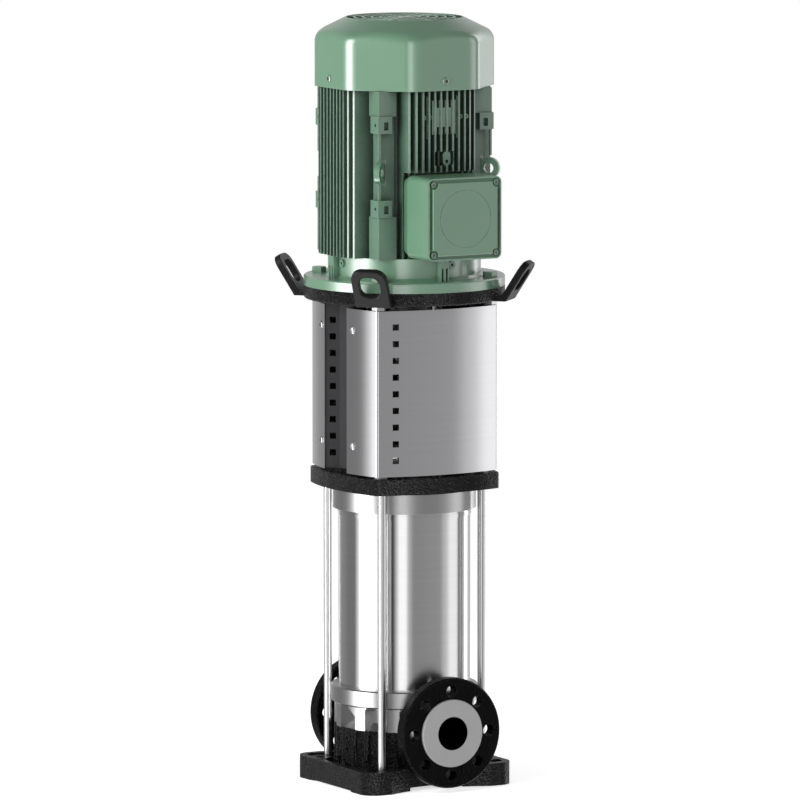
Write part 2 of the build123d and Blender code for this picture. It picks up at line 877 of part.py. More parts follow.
def guard_shell():
    """Folded sheet that covers the +X side and turns round both corners."""
    outer = bulged_square(guard_half, guard_rise, guard_fold)
    inner = bulged_square(guard_half - guard_wall, guard_rise, guard_fold - guard_wall)
    kept = Pos(guard_opening_half + guard_keep / 2, 0) * Rectangle(guard_keep, 2 * guard_keep)
    sheet = Pos(0, 0, guard_bottom) * extrude((outer - inner) & kept, guard_top - guard_bottom)
    hole = Box(2 * guard_rise + guard_fold, vent_hole_size, vent_hole_size)
    sheet -= [Pos(guard_half, -vent_hole_lateral, height) * hole for height in vent_hole_heights()]
    bore = Cylinder(guard_screw_radius + slip_gap, 8 * guard_wall)
    return sheet - [Rot(0, 0, turn) * seat * bore for turn in (0, 180) for seat in guard_screw_seats()]


def vent_hole_heights():
    first = vent_middle - vent_hole_pitch * (vent_hole_count - 1) / 2
    return [first + vent_hole_pitch * i for i in range(vent_hole_count)]


def guard_side(x, inset=0):
    """Distance of the bulged guard side from the shaft at x."""
    radius = bulge_radius()
    return guard_half + guard_rise - radius + sqrt(radius ** 2 - x ** 2) - inset


def vent_depth():
    """Depth of the middle of the vent sheet behind the outer face of the guard."""
    return guard_wall * 1.5 + vent_seat_gap


def guard_screw_seats():
    """Seats of the guard screws on the -Y side, square to the bulged sheet."""
    x = guard_opening_half + guard_screw_inset
    lean = Vector(0, 1).get_angle(Vector(x, guard_side(x) - guard_half - guard_rise + bulge_radius()))
    return [Pos(side * x, -guard_side(x), height) * Rot(0, 0, side * lean) * Rot(90, 0, 0)
            for side in (-1, 1) for height in (guard_screw_height_low, guard_screw_height_high)]


def bulge_radius():
    return (guard_half ** 2 + guard_rise ** 2) / (2 * guard_rise)


def vent_panel():
    """Dark sheet folded into a channel between the two guards on the -Y side."""
    behind = vent_depth()
    flange_end = vent_edge + vent_flange_width
    half_outline = [(vent_floor_half, -vent_floor_reach), (vent_edge, -guard_side(vent_edge, behind)),
                    (flange_end, -guard_side(flange_end, behind))]
    outline = Polyline(*[(-x, y) for x, y in reversed(half_outline)], *half_outline)
    sheet = Pos(0, 0, guard_bottom + 1) * extrude(trace(outline, guard_wall), guard_top - guard_bottom - 1)
    wall_middle_x = (vent_edge + vent_floor_half) / 2
    wall_middle_y = (guard_side(vent_edge, behind) + vent_floor_reach) / 2
    for side in (-1, 1):
        place = Pos(side * wall_middle_x, -wall_middle_y, 0) * Rot(0, 0, side * vent_wall_angle())
        sheet -= [place * Pos(0, 0, height) * Box(8, vent_hole_size, vent_hole_size)
                  for height in vent_hole_heights()]
    bore = Cylinder(guard_screw_radius + slip_gap, 8 * guard_wall)
    return sheet - [seat * bore for seat in guard_screw_seats()]


def vent_wall_angle():
    """Turn of the sloping channel wall away from the YZ plane, in degrees."""
    run = vent_edge - vent_floor_half
    depth = guard_side(vent_edge, vent_depth()) - vent_floor_reach
    return Vector(0, 1).get_angle(Vector(run, depth))


def guard_screws():
    shape = Pos(0, 0, slip_gap) * screw(
        guard_screw_radius, guard_screw_head, guard_screw_head_height, guard_screw_length)
    return [Rot(0, 0, turn) * seat * shape for turn in (0, 180) for seat in guard_screw_seats()]


# Motor

def motor_flange():
    """Drive end shield: flange, cup and bearing hub in one casting."""
    hub_top = drive_bearing_bottom + bearing_width
    spigot_bottom = motor_flange_bottom - motor_spigot_depth
    spigot = motor_spigot_radius - slip_gap
    hub = bearing_outer + hub_wall
    shield = turned((motor_shaft_radius + shaft_hole_gap, spigot_bottom), (spigot, spigot_bottom),
                    (spigot, motor_flange_bottom), (motor_flange_radius, motor_flange_bottom),
                    (motor_flange_radius, flange_top - motor_flange_edge),
                    (motor_flange_radius - motor_flange_edge, flange_top),
                    (shield_radius + shield_root, flange_top), (shield_radius, flange_top + shield_root),
                    (shield_radius, shield_top), (shield_inner, shield_top), (shield_inner, flange_top),
                    (hub, flange_top), (hub, hub_top), (bearing_outer + slip_gap, hub_top),
                    (bearing_outer + slip_gap, drive_bearing_bottom),
                    (motor_shaft_radius + shaft_hole_gap, drive_bearing_bottom))
    shield += spread(shield_post(), quarter_turns)
    holes = Pos(flange_bolt_circle, 0, 0) * disc(
        flange_bolt_radius + slip_gap, motor_flange_bottom - 1, flange_top + 1)
    return shield - spread(holes, corner_angles)


def shield_post():
    """Post on the side of the shield, ribbed below, with a screw boss beside it."""
    half = post_width / 2
    post = block((shield_radius - shield_root, post_reach), (-half, half), (flange_top, shield_top))
    groove_middle = (post_width + 2 * post_rib_gap) / 6
    for side in (-1, 1):
        middle = side * groove_middle
        post -= block((post_reach - post_groove_depth, post_reach + 1),
                      (middle - post_rib_gap / 2, middle + post_rib_gap / 2),
                      (flange_top, flange_top + post_groove_height))
    boss_height = shield_top - post_boss_drop
    boss_face = shield_radius + post_boss_proud
    boss = along_x(disc(post_boss_radius, shield_radius - post_boss_root, boss_face))
    hole = along_x(disc(post_boss_hole, boss_face - post_hole_depth, boss_face + 1))
    return post + Pos(0, post_boss_lateral, boss_height) * (boss - hole)


def flange_bolts():
    bolt = hexagon(flange_bolt_head_flat, flange_top, flange_top + flange_bolt_head_height)
    bolt = chamfer(bolt.edges().group_by(Axis.Z)[-1], flange_bolt_edge)
    bolt += disc(flange_bolt_radius, lantern_ring_bottom - flange_nut_height, flange_top)
    return spread(Pos(flange_bolt_circle, 0, 0) * bolt, corner_angles)


def flange_nuts():
    low_face = lantern_ring_bottom - flange_nut_height
    nut = hexagon(flange_bolt_head_flat, low_face, lantern_ring_bottom)
    nut -= disc(flange_bolt_radius + slip_gap / 2, low_face, lantern_ring_bottom)
    return spread(Pos(flange_bolt_circle, 0, 0) * nut, corner_angles)


def corner_rail():
    """Square rail at the +X +Y corner, cut back to a thin rib between its blocks."""
    rail = block((rail_inner, rail_outer), (rail_inner, rail_outer), (shield_top, cover_bottom - open_gap))
    slot_middle = (rail_inner + rail_outer) / 2 + block_slot_offset
    cut = (rail_outer - rail_slot_depth, rail_outer + 1)
    along = (rail_inner - 1, rail_outer - rail_rib)
    heights = (block_low, block_high + block_height)
    rail -= block(cut, along, heights) + block(along, cut, heights)
    notch_half = eye_outer + eye_notch_gap
    rail -= Rot(0, 0, 45) * block((eye_root, eye_reach), (-rail_outer, rail_outer),
                                  (eye_height - notch_half, eye_height + notch_half))
    for bottom in (block_low, block_high):
        top = bottom + block_height
        face = rail_outer + block_rise
        clamp = block((block_inner, face), (block_inner, face), (bottom, top))
        clamp -= block((face - block_slot_depth, face + 1),
                       (slot_middle - block_slot_width / 2, slot_middle + block_slot_width / 2),
                       (bottom + block_slot_foot, top - block_slot_head))
        hole = disc(block_hole_radius, face - block_hole_depth, face + 1)
        clamp -= Pos(face - block_hole_inset, 0, (bottom + top) / 2) * Rot(-90, 0, 0) * hole
        rail += clamp
    return rail


def on_front(plan, height, reach):
    """Prism that stands on the +X side of the frame out to a reach."""
    root = frame_skin_radius - 4
    return Pos(root, 0, height) * extrude(Plane.YZ * plan, reach - root)


def front_pad():
    """Blank pad among the fins, notched where they run into it, and its bosses."""
    reach = fin_tip_reach - pad_drop
    plan = Rectangle(pad_width, pad_height)
    end = (pad_height - pad_notch_depth) / 2
    notches = GridLocations(fin_pitch, 2 * end, 3, 2)
    plan -= [place * Rectangle(pad_notch_width, pad_notch_depth) for place in notches]
    wide_fin = Rectangle(pad_fin_width, pad_fin_height)
    wide_fins = [Pos(side * pad_fin_steps * fin_pitch, 0) * wide_fin for side in (-1, 1)]
    bosses = [Pos(steps * fin_pitch, 0) * Circle(pad_boss_radius) for steps in pad_boss_steps]
    holes = [Pos(steps * fin_pitch, 0) * Circle(pad_boss_hole) for steps in pad_boss_steps]
    raised = on_front(plan, pad_middle, reach) + on_front(Sketch() + wide_fins, pad_middle, reach - pad_drop)
    return raised + on_front(Sketch() + bosses - holes, pad_middle, reach - pad_drop)


def earth_recess():
    """Shallow step in the fins round the earth screw boss."""
    shape = Rectangle(earth_recess_width, earth_boss_height)
    tall = extrude(Plane.YZ * shape, earth_recess_drop + 1)
    return Pos(fin_tip_reach - earth_recess_drop, 0, earth_boss_middle) * tall


def earth_boss():
    plan = SlotOverall(earth_boss_height, earth_boss_width, rotation=90)
    plan -= Pos(0, (earth_boss_width - earth_boss_height) / 2) * Circle(earth_hole_radius)
    place = Pos(0, fin_pitch / 2, 0)
    return place * on_front(plan, earth_boss_middle, fin_tip_reach - pad_drop)


def stator_frame():
    envelope = Circle(fin_tip_radius) & Rectangle(2 * fin_tip_reach, 2 * fin_tip_reach)
    first = -fin_pitch * (fin_count - 1) / 2
    fins = [Pos(fin_tip_radius / 2, first + fin_pitch * i) * Rectangle(fin_tip_radius, fin_thickness)
            for i in range(fin_count)]
    fin_plan = Sketch() + [Rot(0, 0, turn) * fin for turn in quarter_turns for fin in fins]
    fin_plan = (fin_plan & envelope) + Circle(frame_skin_radius)
    frame = Pos(0, 0, shield_top) * extrude(fin_plan, frame_top - shield_top)
    frame = frame + front_pad() - earth_recess() + earth_boss()
    box_half = box_width / 2 + box_recess_gap
    frame -= block((frame_skin_radius - 1, fin_tip_radius + 1), (-box_half, box_half),
                   (shield_top - 1, box_middle + box_height / 2 + box_recess_gap))
    neck_half = box_width / 2 - box_neck_inset
    frame += block((frame_bore + 2, box_back), (-neck_half, neck_half),
                   (box_middle - neck_half, box_middle + neck_half))
    rail = corner_rail()
    mirrored = mirror(rail, Plane.XZ)
    frame += [rail, mirrored, Rot(0, 0, 180) * rail, Rot(0, 0, 180) * mirrored]
    frame -= disc(frame_bore, shield_top - 1, frame_top + 1)
    cable_window = Pos(0, 0, box_middle) * along_x(disc(cable_window_radius, frame_bore - 2, box_back + 1))
    return frame - cable_window


def motor_eye(angle):
    """Cast lifting ring that stands in the radial plane at a corner rail."""
    centre = eye_reach - eye_outer
    ring = Cylinder(eye_outer, eye_thickness) - Cylinder(eye_inner, eye_thickness)
    ring = Rot(90, 0, 0) * ring
    outside = block((eye_root, eye_reach), (-eye_outer, eye_outer),
                    (eye_height - eye_outer, eye_height + eye_outer))
    return Rot(0, 0, angle) * (Pos(centre, 0, eye_height) * ring & outside)


def stator_core():
    return tube(frame_bore - slip_gap, core_inner, core_bottom, core_top)


def stator_winding():
    inner = winding_radius - winding_wall
    end = core_bottom - winding_reach
    lower = turned((inner, core_bottom), (inner, end + winding_edge), (inner + winding_edge, end),
                   (winding_radius - winding_edge, end), (winding_radius, end + winding_edge),
                   (winding_radius, core_bottom))
    upper = mirror(lower, Plane.XY.offset((core_bottom + core_top) / 2))
    return [lower, upper]


def rotor_core():
    radius = core_inner - air_gap
    core = tube(radius, rotor_shaft_radius + slip_gap / 2, core_bottom, core_top)
    ring_outer = radius - rotor_ring_inset
    ring_inner = ring_outer - rotor_ring_depth
    upper_ring = tube(ring_outer, ring_inner, core_top, core_top + rotor_ring_height)
    lower_ring = tube(ring_outer, ring_inner, core_bottom - rotor_ring_height, core_bottom)
    return core + upper_ring + lower_ring


def motor_shaft():
    drive_top = drive_bearing_bottom + bearing_width
    fan_bearing_top = fan_bearing_bottom + bearing_width
    seat = bearing_inner - slip_gap / 2
    shaft = turned((0, motor_shaft_end), (motor_shaft_radius - 1, motor_shaft_end),
                   (motor_shaft_radius, motor_shaft_end + 1), (motor_shaft_radius, drive_bearing_bottom),
                   (seat, drive_bearing_bottom), (seat, drive_top), (rotor_shaft_radius, drive_top),
                   (rotor_shaft_radius, fan_bearing_bottom), (seat, fan_bearing_bottom),
                   (seat, fan_bearing_top), (fan_seat_radius, fan_bearing_top),
                   (fan_seat_radius, motor_shaft_top), (0, motor_shaft_top))
    keyway = block((motor_shaft_radius - key_depth, motor_shaft_radius + 1), (-key_width / 2, key_width / 2),
                   (motor_shaft_end + key_start, motor_shaft_end + motor_shaft_reach - key_stop))
    return shaft - keyway


def bearing_outer_rings():
    groove = bearing_outer - bearing_ring
    rings = []
    for bottom in (drive_bearing_bottom, fan_bearing_bottom):
        ring = tube(bearing_outer, groove, bottom, bottom + bearing_width)
        rings.append(ring - raceway(bottom))
    return rings


def raceway(bottom):
    """Torus in which the balls of a bearing run, a running gap wider than they are."""
    middle = (bearing_outer + bearing_inner) / 2
    return Pos(0, 0, bottom + bearing_width / 2) * Torus(middle, ball_radius() + running_gap)


def ball_radius():
    return (bearing_outer - bearing_inner) / 2 - bearing_ring + race_depth


def bearing_inner_rings():
    """Inner rings with their balls and cage, which turn with the shaft."""
    middle = (bearing_outer + bearing_inner) / 2
    half_gap = (bearing_outer - bearing_inner) / 2 - bearing_ring - open_gap
    rings = []
    for bottom in (drive_bearing_bottom, fan_bearing_bottom):
        centre = bottom + bearing_width / 2
        ring = tube(bearing_inner + bearing_ring, bearing_inner, bottom, bottom + bearing_width)
        cage = tube(middle + half_gap, bearing_inner + bearing_ring - 1,
                    centre - cage_height / 2, centre + cage_height / 2)
        balls = [Rot(0, 0, angle) * Pos(middle, 0, centre) * Sphere(ball_radius())
                 for angle in evenly(ball_count)]
        rings.append(ring + cage + balls)
    return rings


def fan_end_shield():
    hub_outer = bearing_outer + hub_wall
    bore = bearing_outer + slip_gap
    bearing_top = fan_bearing_bottom + bearing_width
    top = frame_top + fan_shield_thickness
    hole = motor_shaft_radius + fan_shield_hole_gap
    hub_foot = fan_bearing_bottom - fan_hub_foot
    spigot_foot = frame_top - fan_shield_spigot
    shield = turned((fan_shield_radius, frame_top), (fan_shield_radius, top), (hole, top + fan_shield_dish),
                    (hole, bearing_top), (bore, bearing_top), (bore, hub_foot), (hub_outer, hub_foot),
                    (hub_outer, spigot_foot), (frame_bore - slip_gap, spigot_foot),
                    (frame_bore - slip_gap, frame_top))
    inner_face = cover_flat - cover_wall - slip_gap
    half = cover_lug_width / 2
    lug = block((fan_shield_radius - cover_lug_root, inner_face), (-half, half),
                (frame_top, cover_bottom + cover_screw_lift + cover_lug_rise))
    lug -= Pos(0, 0, cover_bottom + cover_screw_lift) * along_x(
        disc(cover_screw_radius + slip_gap, inner_face - cover_screw_length, inner_face + 1))
    return shield + spread(lug, quarter_turns)


def cooling_fan():
    hub_bore = fan_seat_radius + slip_gap / 2
    root = hub_bore + fan_blade_root
    top = fan_bottom + fan_height
    hub = tube(fan_hub_radius, hub_bore, fan_bottom, top)
    plate = tube(fan_radius, hub_bore, fan_bottom, fan_bottom + fan_disc_thickness)
    half = fan_blade_thickness / 2
    blade_plan = Polyline((root, fan_bottom), (fan_radius, fan_bottom), (fan_radius, top),
                          (fan_radius - fan_blade_slope, top), (fan_hub_radius, fan_bottom + fan_height / 2),
                          (root, fan_bottom + fan_height / 2), close=True)
    blade = extrude(Plane.XZ * make_face(blade_plan), half, both=True)
    return hub + plate + spread(blade, evenly(fan_blade_count, fan_turn))


def cover_solid(shrink):
    """Rounded octagon under a dished top, smaller all round by shrink."""
    corners = cover_across_corners - shrink / cos(radians(22.5))
    octagon = Rot(0, 0, 22.5) * RegularPolygon(corners, 8)
    octagon = fillet(octagon.vertices(), cover_corner - shrink)
    prism = Pos(0, 0, cover_bottom) * extrude(octagon, cover_top - cover_bottom - shrink)
    top = cover_top - shrink
    dish = turned((0, cover_bottom), (corners, cover_bottom), (corners, cover_shoulder - shrink),
                  (grille_radius, top), (0, top))
    body = prism & dish
    rim = [edge for edge in body.edges()
           if edge.geom_type != GeomType.LINE and cover_bottom + 1 < edge.center().Z < top - 1]
    return fillet(rim, cover_rounding - shrink)


def fan_cover():
    hollow = cover_solid(cover_wall) + disc(cover_flat - cover_wall, cover_bottom - 5, cover_bottom + 1)
    step = (grille_radius - grille_hub) / grille_rings
    outer_slot = grille_radius - grille_edge
    slots = [tube(outer_slot - step * i, outer_slot - step * i - (step - grille_bar),
                  cover_top - cover_wall - 1, cover_top + 1) for i in range(grille_rings)]
    spoke = block((0, grille_radius), (-grille_bar / 2, grille_bar / 2),
                  (cover_top - cover_wall - 2, cover_top + 2))
    cover = cover_solid(0) - hollow
    cover -= Part() + slots - spread(spoke, evenly(grille_spokes))
    hole = Pos(0, 0, cover_bottom + cover_screw_lift) * along_x(
        disc(cover_screw_radius + slip_gap, cover_flat - 20, cover_flat + 5))
    return cover - spread(hole, quarter_turns)


def fan_cover_screws():
    one_screw = screw(cover_screw_radius, cover_screw_head, cover_screw_head_height, cover_screw_length)
    placed = Pos(cover_flat, 0, cover_bottom + cover_screw_lift) * along_x(one_screw)
    return spread(placed, quarter_turns)


# Terminal box

def box_frame(width, height, corner, back, front):
    """Upright rounded slab that faces +X at the terminal box."""
    plan = RectangleRounded(width, height, corner)
    return Pos(back, 0, box_middle) * extrude(Plane.YZ * plan, front - back)


def lid_back():
    return box_front - lid_thickness


def box_shell(shrink, back, front):
    """Solid of the box whose back tapers towards the motor, smaller by shrink."""
    width = box_width - 2 * shrink
    height = box_height - 2 * shrink
    corner = box_corner - shrink
    knee = box_back + box_back_depth
    deep = box_frame(width, height, corner, knee, front)
    wide = Pos(knee, 0, box_middle) * (Plane.YZ * RectangleRounded(width, height, corner))
    narrow = Pos(back, 0, box_middle) * (
        Plane.YZ * RectangleRounded(width - 2 * box_back_taper, height - 2 * box_back_taper, corner))
    return deep + loft([narrow.face(), wide.face()])


def terminal_box():
    front = lid_back()
    outside = box_shell(0, box_back, front)
    body = outside - box_shell(box_wall, box_back + box_wall, front + 1)
    post = block((box_back + 1, front), (-box_post_half, box_post_half), (-box_post_half, box_post_half))
    body = (body + [Pos(0, y, z) * post for y, z in lid_screw_places()]) & outside
    thread = along_x(disc(lid_thread_radius, front - lid_thread_depth, front + 1))
    body -= [Pos(0, y, z) * thread for y, z in lid_screw_places()]
    body -= Pos(0, 0, box_middle) * along_x(disc(cable_window_radius, box_back - 1, box_back + box_wall + 1))
    entry = Rot(-90, 0, 0) * disc(entry_radius - entry_thread_step, -box_wall - 1, 1)
    return body - [place * entry for place in entry_places()]


def lid_screw_places():
    y = box_width / 2 - lid_screw_inset
    z = box_height / 2 - lid_screw_inset
    return [(sy * y, box_middle + sz * z) for sy in (-1, 1) for sz in (-1, 1)]


def entry_places():
    middle = (box_back + box_back_depth + lid_back()) / 2
    return [Pos(middle, box_width / 2, box_middle + side * entry_pitch / 2) for side in (-1, 1)]


def terminal_lid():
    """Lid with a raised field inside a groove, screw pockets and an engraved circle."""
    rim_front = box_front - lid_raise
    field_inset = lid_rim + lid_groove_width
    lid = box_frame(box_width, box_height, box_corner, lid_back(), rim_front)
    lid -= box_frame(box_width - 2 * lid_rim, box_height - 2 * lid_rim, box_corner - lid_rim,
                     rim_front - lid_groove_depth, box_front)
    field = box_frame(box_width - 2 * field_inset, box_height - 2 * field_inset, box_corner - lid_rim,
                      lid_back(), box_front)
    lid += chamfer(field.faces().sort_by(Axis.X)[-1].edges(), lid_field_edge)
    pocket = along_x(disc(lid_pocket_radius, rim_front - lid_pocket_depth, box_front + 1))
    shank = along_x(disc(lid_thread_radius + slip_gap, lid_back() - 1, box_front))
    lid -= [Pos(0, y, z) * (pocket + shank) for y, z in lid_screw_places()]
    lid -= box_frame(box_width - 2 * lid_wall, box_height - 2 * lid_wall, box_corner, lid_back() - 1,
                     box_front - lid_front_wall)
    circle = tube(lid_circle_radius, lid_circle_radius - lid_circle_width,
                  box_front - lid_circle_depth, box_front + 1)
    return lid - Pos(0, 0, box_middle) * along_x(circle)


def terminal_screws():
    shape = screw(lid_thread_radius - slip_gap, lid_screw_radius, lid_screw_head_height, lid_screw_length)
    seat = box_front - lid_raise - lid_pocket_depth
    return [Pos(seat, y, z) * along_x(shape) for y, z in lid_screw_places()]


def terminal_board():
    floor = box_back + box_wall
    half_width = board_width / 2
    low_edge = box_middle + board_lift
    board = block((floor, floor + board_depth), (-half_width, half_width),
                  (low_edge, low_edge + board_height))
    stud = along_x(disc(stud_radius, 0, stud_length))
    return board + [Pos(floor + board_depth, terminal_pitch * column, low_edge + stud_lift) * stud
                    for column in (-1, 0, 1)]


def cable_entry_plugs():
    thread = disc(entry_radius - entry_thread_step - slip_gap, -box_wall, 0)
    plug = hexagon(entry_flat, 0, entry_height) + thread
    return [place * Rot(-90, 0, 0) * plug for place in entry_places()]


# Coupling

def coupling_half(side):
    top = coupling_bottom + coupling_length
    body = tube(coupling_radius, pump_shaft_radius + slip_gap / 2, coupling_bottom, top)
    body -= disc(motor_shaft_radius + slip_gap / 2, pump_shaft_top + 2, top)
    reach = coupling_radius + 1
    body &= block((coupling_split / 2, reach), (-reach, reach), (coupling_bottom, top))
    bore = along_x(disc(clamp_screw_radius + slip_gap, 0, reach))
    pocket = along_x(disc(clamp_screw_pocket, clamp_screw_seat, reach))
    body -= [Pos(0, y, z) * (bore + pocket) for y, z in clamp_screw_places()]
    return Rot(0, 0, 0 if side > 0 else 180) * body


def clamp_screw_places():
    heights = (coupling_bottom + clamp_screw_inset, coupling_bottom + coupling_length - clamp_screw_inset)
    return [(y, z) for y in (-clamp_screw_offset, clamp_screw_offset) for z in heights]


def coupling_screws():
    shape = screw(clamp_screw_radius, clamp_screw_head, clamp_screw_head_height, clamp_screw_length)
    return [Pos(clamp_screw_seat, y, z) * along_x(shape) for y, z in clamp_screw_places()]


# All pieces by name

pieces = {
    "base_foot": base_foot(),
    "pump_body": pump_body(),
    "outlet_collar": nozzle_collar(),
    "inlet_collar": Rot(0, 0, 180) * nozzle_collar(),
    "outlet_flange": loose_flange(),
    "inlet_flange": Rot(0, 0, 180) * loose_flange(),
    "service_plugs": service_plugs(),
    "outer_sleeve": outer_sleeve(),
    "head_cover": head_cover(),
    "body_seals": body_seals(),
    "tie_rod_nuts": tie_rod_nuts(),
    "pump_shaft": pump_shaft(),
    "lower_bush": lower_bush(),
    "seal_seat": seal_seat(),
    "seal_head": seal_head(),
    "lantern": lantern(),
    "vent_panel_left": vent_panel(),
    "vent_panel_right": Rot(0, 0, 180) * vent_panel(),
    "guard_front": guard_shell(),
    "guard_back": Rot(0, 0, 180) * guard_shell(),
    "guard_screws": guard_screws(),
    "coupling_half_front": coupling_half(1),
    "coupling_half_back": coupling_half(-1),
    "coupling_screws": coupling_screws(),
    "motor_flange": motor_flange(),
    "flange_bolts": flange_bolts(),
    "flange_nuts": flange_nuts(),
    "stator_frame": stator_frame(),
    "motor_eyes": [motor_eye(45), motor_eye(-45)],
    "stator_core": stator_core(),
    "stator_winding": stator_winding(),
    "rotor_core": rotor_core(),
    "motor_shaft": motor_shaft(),
    "bearing_outer_rings": bearing_outer_rings(),
    "bearing_inner_rings": bearing_inner_rings(),
    "fan_end_shield": fan_end_shield(),
    "cooling_fan": cooling_fan(),
    "fan_cover": fan_cover(),
    "fan_cover_screws": fan_cover_screws(),
    "terminal_box": terminal_box(),
    "terminal_lid": terminal_lid(),
    "terminal_screws": terminal_screws(),
    "terminal_board": terminal_board(),
    "cable_entry_plugs": cable_entry_plugs(),
}
for number, angle in enumerate(corner_angles, start=1):
    pieces[f"tie_rod_{number}"] = tie_rod(angle)
    pieces[f"lifting_lug_{number}"] = lifting_lug(angle)
for number in range(stage_count):
    bottom = stage_bottom + stage_pitch * number
    pieces[f"stage_casing_{number + 1}"] = stage_casing(bottom)
    pieces[f"impeller_{number + 1}"] = impeller(bottom)

os.makedirs("parts", exist_ok=True)
for name, shape in pieces.items():
    export_step(one(shape), f"parts/{name}.step")
print(len(pieces), "nodes written")
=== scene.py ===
# %% [markdown]
# # A vertical multistage pump, dressed for its picture
#
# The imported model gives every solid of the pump: the cast foot, the steel body,
# the sleeve, the lantern with its guards, and the finned motor on top.
# This lesson loads that model, sets up the camera and the light of a small studio,
# writes a finish for each kind of surface, and gives the small screws the domed heads
# that are lighter to make here than as solids.

# %% Load the model
import json
import math

import bpy
import numpy as np
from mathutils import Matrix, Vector


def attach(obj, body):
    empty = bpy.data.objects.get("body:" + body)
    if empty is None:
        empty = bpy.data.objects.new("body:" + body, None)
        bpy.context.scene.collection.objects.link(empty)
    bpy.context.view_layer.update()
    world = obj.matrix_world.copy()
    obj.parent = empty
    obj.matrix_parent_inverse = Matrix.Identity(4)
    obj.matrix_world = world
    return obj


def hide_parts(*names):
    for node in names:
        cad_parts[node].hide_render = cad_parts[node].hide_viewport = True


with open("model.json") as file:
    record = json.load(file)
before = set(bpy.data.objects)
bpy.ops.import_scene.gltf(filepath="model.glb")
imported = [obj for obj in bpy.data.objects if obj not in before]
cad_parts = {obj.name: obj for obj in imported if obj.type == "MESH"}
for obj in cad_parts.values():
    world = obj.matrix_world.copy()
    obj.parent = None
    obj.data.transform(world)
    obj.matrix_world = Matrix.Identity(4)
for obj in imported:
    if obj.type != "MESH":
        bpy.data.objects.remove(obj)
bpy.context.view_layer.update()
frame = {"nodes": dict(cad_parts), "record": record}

# %% [markdown]
# ## The camera
#
# The picture was taken from far away with a long lens, so upright edges stay upright.
# A camera far off could also be made orthographic, but then the round flanges lose
# the slight widening towards the viewer that a real lens gives.
# The distance and height here were fitted to points whose sizes are known.

# %% Camera
camera_azimuth = math.radians(61.25)
camera_bearing = camera_azimuth - math.pi / 2
camera_distance = 13.133
camera_height = 2.098
aim_side = -0.0065
aim_height = 0.573
lens_mm = 398.8
film_mm = 36
farthest_seen = 100

sideways = Vector((math.cos(camera_azimuth), math.sin(camera_azimuth), 0))
towards = Vector((math.sin(camera_azimuth), -math.cos(camera_azimuth), 0))
aim = sideways * aim_side + Vector((0, 0, aim_height))
place = sideways * aim_side + towards * camera_distance + Vector((0, 0, camera_height))

camera_data = bpy.data.cameras.new("picture_camera")
camera_data.lens = lens_mm
camera_data.sensor_width = film_mm
camera_data.clip_end = farthest_seen
camera = bpy.data.objects.new("picture_camera", camera_data)
camera.location = place
camera.rotation_euler = (aim - place).to_track_quat("-Z", "Y").to_euler()
bpy.context.scene.collection.objects.link(camera)
bpy.context.scene.camera = camera
bpy.context.scene.view_settings.view_transform = "Standard"
print("camera at", [round(v, 3) for v in place])

# %% [markdown]
# ## Surfaces from numbers
#
# Every new shape below is a grid of points worked out with whole arrays: each row is
# a ring, and its last point meets its first. Blender's own circles and cones could
# give such rings too, but a grid keeps the formula of the shape in plain sight.
# One helper numbers the faces of such a grid, and another makes the mesh.

# %% Rings to mesh
def ring_faces(rows, columns, first=0, cap=False):
    """Faces over a grid of rings, as the numbers of their corners, counted from first.

    The quad at row i, column j joins the points (i, j), (i, j+1), (i+1, j+1), (i+1, j),
    and the last column joins the first. A cap closes the first and last ring."""
    index = first + np.arange(rows * columns).reshape(rows, columns)
    here, down = index[:-1], index[1:]
    quads = np.stack([here, np.roll(here, -1, 1), np.roll(down, -1, 1), down], -1)
    faces = quads.reshape(-1, 4).tolist()
    if cap:
        faces.append(index[0, ::-1].tolist())
        faces.append(index[-1].tolist())
    return faces


def make_piece(name, points, faces):
    """An object at the origin whose mesh has these points and faces."""
    mesh = bpy.data.meshes.new(name)
    mesh.from_pydata(points.reshape(-1, 3).tolist(), [], faces)
    mesh.validate()
    mesh.update()
    piece = bpy.data.objects.new(name, mesh)
    bpy.context.scene.collection.objects.link(piece)
    print(name, "points:", len(mesh.vertices), "faces:", len(mesh.polygons))
    return piece


# %% [markdown]
# ## The floor
#
# The pump stands on a pale floor, which only has to catch its shadow. A plane would do,
# but its corners could show, so this is a disc: rings that grow evenly round the origin.
# It lies half a millimetre low, so that the foot's underside doesn't flicker in it.

# %% Floor
floor_radius = 1.7
floor_hole = 0.001
floor_level = -0.0005
floor_rings = 12
floor_columns = 96

distance, turn = np.meshgrid(
    np.linspace(floor_hole, floor_radius, floor_rings),
    np.linspace(0, 2 * np.pi, floor_columns, endpoint=False),
    indexing="ij",
)
level = np.full(distance.shape, floor_level)
floor_points = np.stack([distance * np.cos(turn), distance * np.sin(turn), level], -1)
floor = make_piece("floor", floor_points, ring_faces(floor_rings, floor_columns))

# %% [markdown]
# ## Small tools for nodes
#
# Blender's materials and its world are both trees of nodes. Making each node takes
# several lines, so a few helpers do what comes up again and again, and each returns
# the output socket that the next one takes.

# %% Node tools
def link(tree, start, end):
    """Join an output socket to an input socket."""
    tree.links.new(start, end)


def math_node(tree, operation, first, second=None):
    """A Math node fed by sockets or plain numbers; returns its output."""
    node = tree.nodes.new("ShaderNodeMath")
    node.operation = operation
    for socket, value in zip(node.inputs, (first, second)):
        if value is None:
            continue
        if isinstance(value, (int, float)):
            socket.default_value = value
        else:
            link(tree, value, socket)
    return node.outputs[0]


def ranged(tree, value, low, high, to_low=0.0, to_high=1.0):
    """A value from low to high mapped onto another range and held inside it."""
    node = tree.nodes.new("ShaderNodeMapRange")
    link(tree, value, node.inputs["Value"])
    for label, number in zip(("From Min", "From Max", "To Min", "To Max"), (low, high, to_low, to_high)):
        node.inputs[label].default_value = number
    return node.outputs[0]


